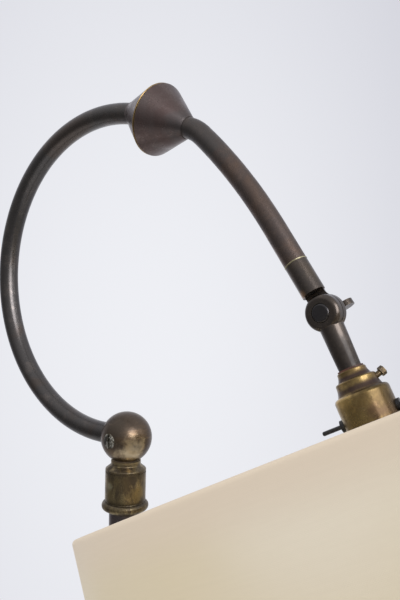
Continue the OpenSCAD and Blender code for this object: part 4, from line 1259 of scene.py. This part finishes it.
@dataclass
class Studio:
    """The camera, the lamps, the pale surround and the floor."""

    eye: Point = (0.28758, -0.29895, 1.30606)
    right: Point = (0.79027, 0.6123, 0.02368)
    down: Point = (0.03251, -0.00332, -0.99947)
    ahead: Point = (-0.6119, 0.79062, -0.02253)
    lens: float = 39.3
    film_width: float = 36.0
    near: float = 0.01
    far: float = 60.0
    subject: Point = (0.06, 0.0, 1.32)
    lamps: tuple[Softbox, ...] = (
        Softbox("key", (0.45, 0.4, -0.85), (0.26, 0.26), 0.085, (1.0, 0.99, 0.965), mirrored=False),
        Softbox("broad", (-0.95, 0.85, -0.42), (1.0, 0.9), 0.44, (1.0, 0.985, 0.95), mirrored=False),
        Softbox("side", (1.5, 0.35, -0.2), (0.12, 1.2), 0.05, (0.98, 0.985, 1.0)),
        Softbox("window", (0.75, 0.37, -0.97), (0.95, 1.05), 1.0, (1.0, 0.985, 1.0), lights=False),
    )
    bright: Colour = (0.858, 0.867, 0.908)
    edge: Colour = (0.6, 0.605, 0.67)
    glow_at: float = 0.076
    glow_across: float = 3.55
    glow_down: float = 1.3
    dim: Colour = (0.17, 0.168, 0.17)
    lit: Colour = (0.7, 0.7, 0.72)
    lit_right: float = 0.35
    lit_up: float = 0.93
    soft: Colour = (1.0, 0.995, 0.985)
    ambient: float = 0.58
    floor_rings: tuple[float, ...] = (0.3, 0.8, 1.4, 2.0, 2.6)
    floor_spokes: int = 64
    floor_tones: tuple[Colour, Colour] = ((0.87, 0.875, 0.9), (0.9, 0.905, 0.925))
    floor_rough: float = 0.7
    fade_from: float = 0.9
    fade_to: float = 2.3

    def camera(self) -> None:
        """Sets the camera where the photograph was taken from."""
        data = bpy.data.cameras.new("camera")
        data.lens, data.sensor_width, data.sensor_fit = self.lens, self.film_width, "AUTO"
        data.clip_start, data.clip_end = self.near, self.far
        made = bpy.data.objects.new("camera", data)
        axes = Matrix((Vector(self.right), -Vector(self.down), -Vector(self.ahead))).transposed()
        made.matrix_world = Matrix.Translation(self.eye) @ axes.to_4x4()
        bpy.context.scene.collection.objects.link(made)
        bpy.context.scene.camera = made

    def hang(self, lamp: Softbox) -> None:
        """Hangs a soft lamp.

        Args:
            lamp: the lamp to hang.
        """
        data = bpy.data.lights.new(lamp.name, "AREA")
        data.shape, data.size, data.size_y = "RECTANGLE", *lamp.size
        across, up, ahead = lamp.offset
        shift = Vector(self.right) * across - Vector(self.down) * up + Vector(self.ahead) * ahead
        data.energy, data.color = lamp.level * math.pi**2 * shift.length_squared, lamp.colour
        made = bpy.data.objects.new(lamp.name, data)
        made.location = Vector(self.subject) + shift
        made.rotation_mode = "QUATERNION"
        made.rotation_quaternion = (-shift).to_track_quat("-Z", "Y")
        made.visible_camera = False
        made.visible_glossy, made.visible_diffuse = lamp.mirrored, lamp.lights
        bpy.context.scene.collection.objects.link(made)

    def surround(self) -> None:
        """Makes the world: pale where the camera, metal and glass look, plain soft light for the rest."""
        world = bpy.data.worlds.new("surround")
        bpy.context.scene.world = world
        world.use_nodes = True
        world.node_tree.nodes.clear()
        s = Sketch(world.node_tree)
        way = s.put("ShaderNodeTexCoord").outputs["Generated"]
        facing = s.dot(way, self.ahead)
        aside = s.calc("ADD", s.dot(way, self.right), self.glow_at)
        below = s.calc("SUBTRACT", s.dot(way, self.down), self.glow_at)
        wide = s.calc("MULTIPLY", s.calc("MULTIPLY", aside, aside), self.glow_across)
        away = s.calc("MULTIPLY_ADD", s.calc("MULTIPLY", below, below), self.glow_down, wide)
        wall = s.tint(s.put("ShaderNodeMapRange", {"Value": away}).outputs[0], self.bright, self.edge)
        lit_side = Vector(self.right) * self.lit_right - Vector(self.down) * self.lit_up
        toward_light = s.span(s.dot(way, tuple(lit_side)), low=-0.6, high=0.7)
        behind = s.tint(toward_light, self.dim, self.lit)
        room = s.tint(s.span(facing, low=0.1, high=0.85), behind, wall)
        path = s.put("ShaderNodeLightPath").outputs
        seen = s.calc("MAXIMUM", path["Is Camera Ray"], path["Is Transmission Ray"])
        shown = s.tint(path["Is Glossy Ray"], wall, room)
        pale = s.put("ShaderNodeBackground", {"Color": shown, "Strength": 1.0}).outputs[0]
        soft = s.put("ShaderNodeBackground", {"Color": self.soft, "Strength": self.ambient}).outputs[0]
        which = s.calc("MAXIMUM", seen, path["Is Glossy Ray"])
        mixed = s.put("ShaderNodeMixShader", {0: which, 1: soft, 2: pale}).outputs[0]
        s.put("ShaderNodeOutputWorld", {"Surface": mixed})

    def floor(self) -> None:
        """Lays a pale floor that fades into the surround."""
        rings, spokes = self.floor_rings, self.floor_spokes
        verts = [(0.0, 0.0, 0.0)]
        for ring in rings:
            verts += [(ring * math.cos(a), ring * math.sin(a), 0.0) for a in full_turn(spokes)]
        faces = [(0, 1 + k, 1 + (k + 1) % spokes) for k in range(spokes)]
        for ring in range(len(rings) - 1):
            base = 1 + ring * spokes
            for k in range(spokes):
                after = (k + 1) % spokes
                faces.append((base + k, base + spokes + k, base + spokes + after, base + after))
        mesh = bpy.data.meshes.new("floor")
        mesh.from_pydata(verts, [], faces)
        mesh.materials.append(self.floor_material())
        made = bpy.data.objects.new("floor", mesh)
        bpy.context.scene.collection.objects.link(made)

    def floor_material(self) -> bpy.types.Material:
        """Makes the floor's pale, faintly mottled paint.

        Returns:
            The material, clear at the floor's rim.
        """
        made = bpy.data.materials.new("floor_paint")
        made.use_nodes = True
        made.node_tree.nodes.clear()
        s = Sketch(made.node_tree)
        place = s.put("ShaderNodeTexCoord").outputs["Object"]
        mottle = s.cloud(place, scale=3.0, detail=4.0)
        colour = s.tint(s.span(mottle, low=0.3, high=0.7), *self.floor_tones)
        feeds = {"Base Color": colour, "Roughness": self.floor_rough}
        paint = s.put("ShaderNodeBsdfPrincipled", feeds).outputs[0]
        away = s.put("ShaderNodeVectorMath", {0: place}, operation="LENGTH").outputs["Value"]
        clear = s.put("ShaderNodeBsdfTransparent").outputs[0]
        fade = s.span(away, low=self.fade_from, high=self.fade_to)
        mixed = s.put("ShaderNodeMixShader", {0: fade, 1: paint, 2: clear}).outputs[0]
        s.put("ShaderNodeOutputMaterial", {"Surface": mixed})
        return made


def main() -> None:
    """Sets the studio up, then dresses and builds each sub-assembly in order."""
    logging.basicConfig(level=logging.INFO, format="%(name)s: %(message)s")
    bpy.context.scene.view_settings.view_transform = "Standard"
    studio = Studio()
    studio.camera()
    for assembly in (Foot(), Column(), LoopArm(), OuterArm(), Head(), Shade()):
        assembly.dress()
        assembly.build()
    for lamp in studio.lamps:
        studio.hang(lamp)
    studio.surround()
    studio.floor()


if __name__ == "__main__":
    main()
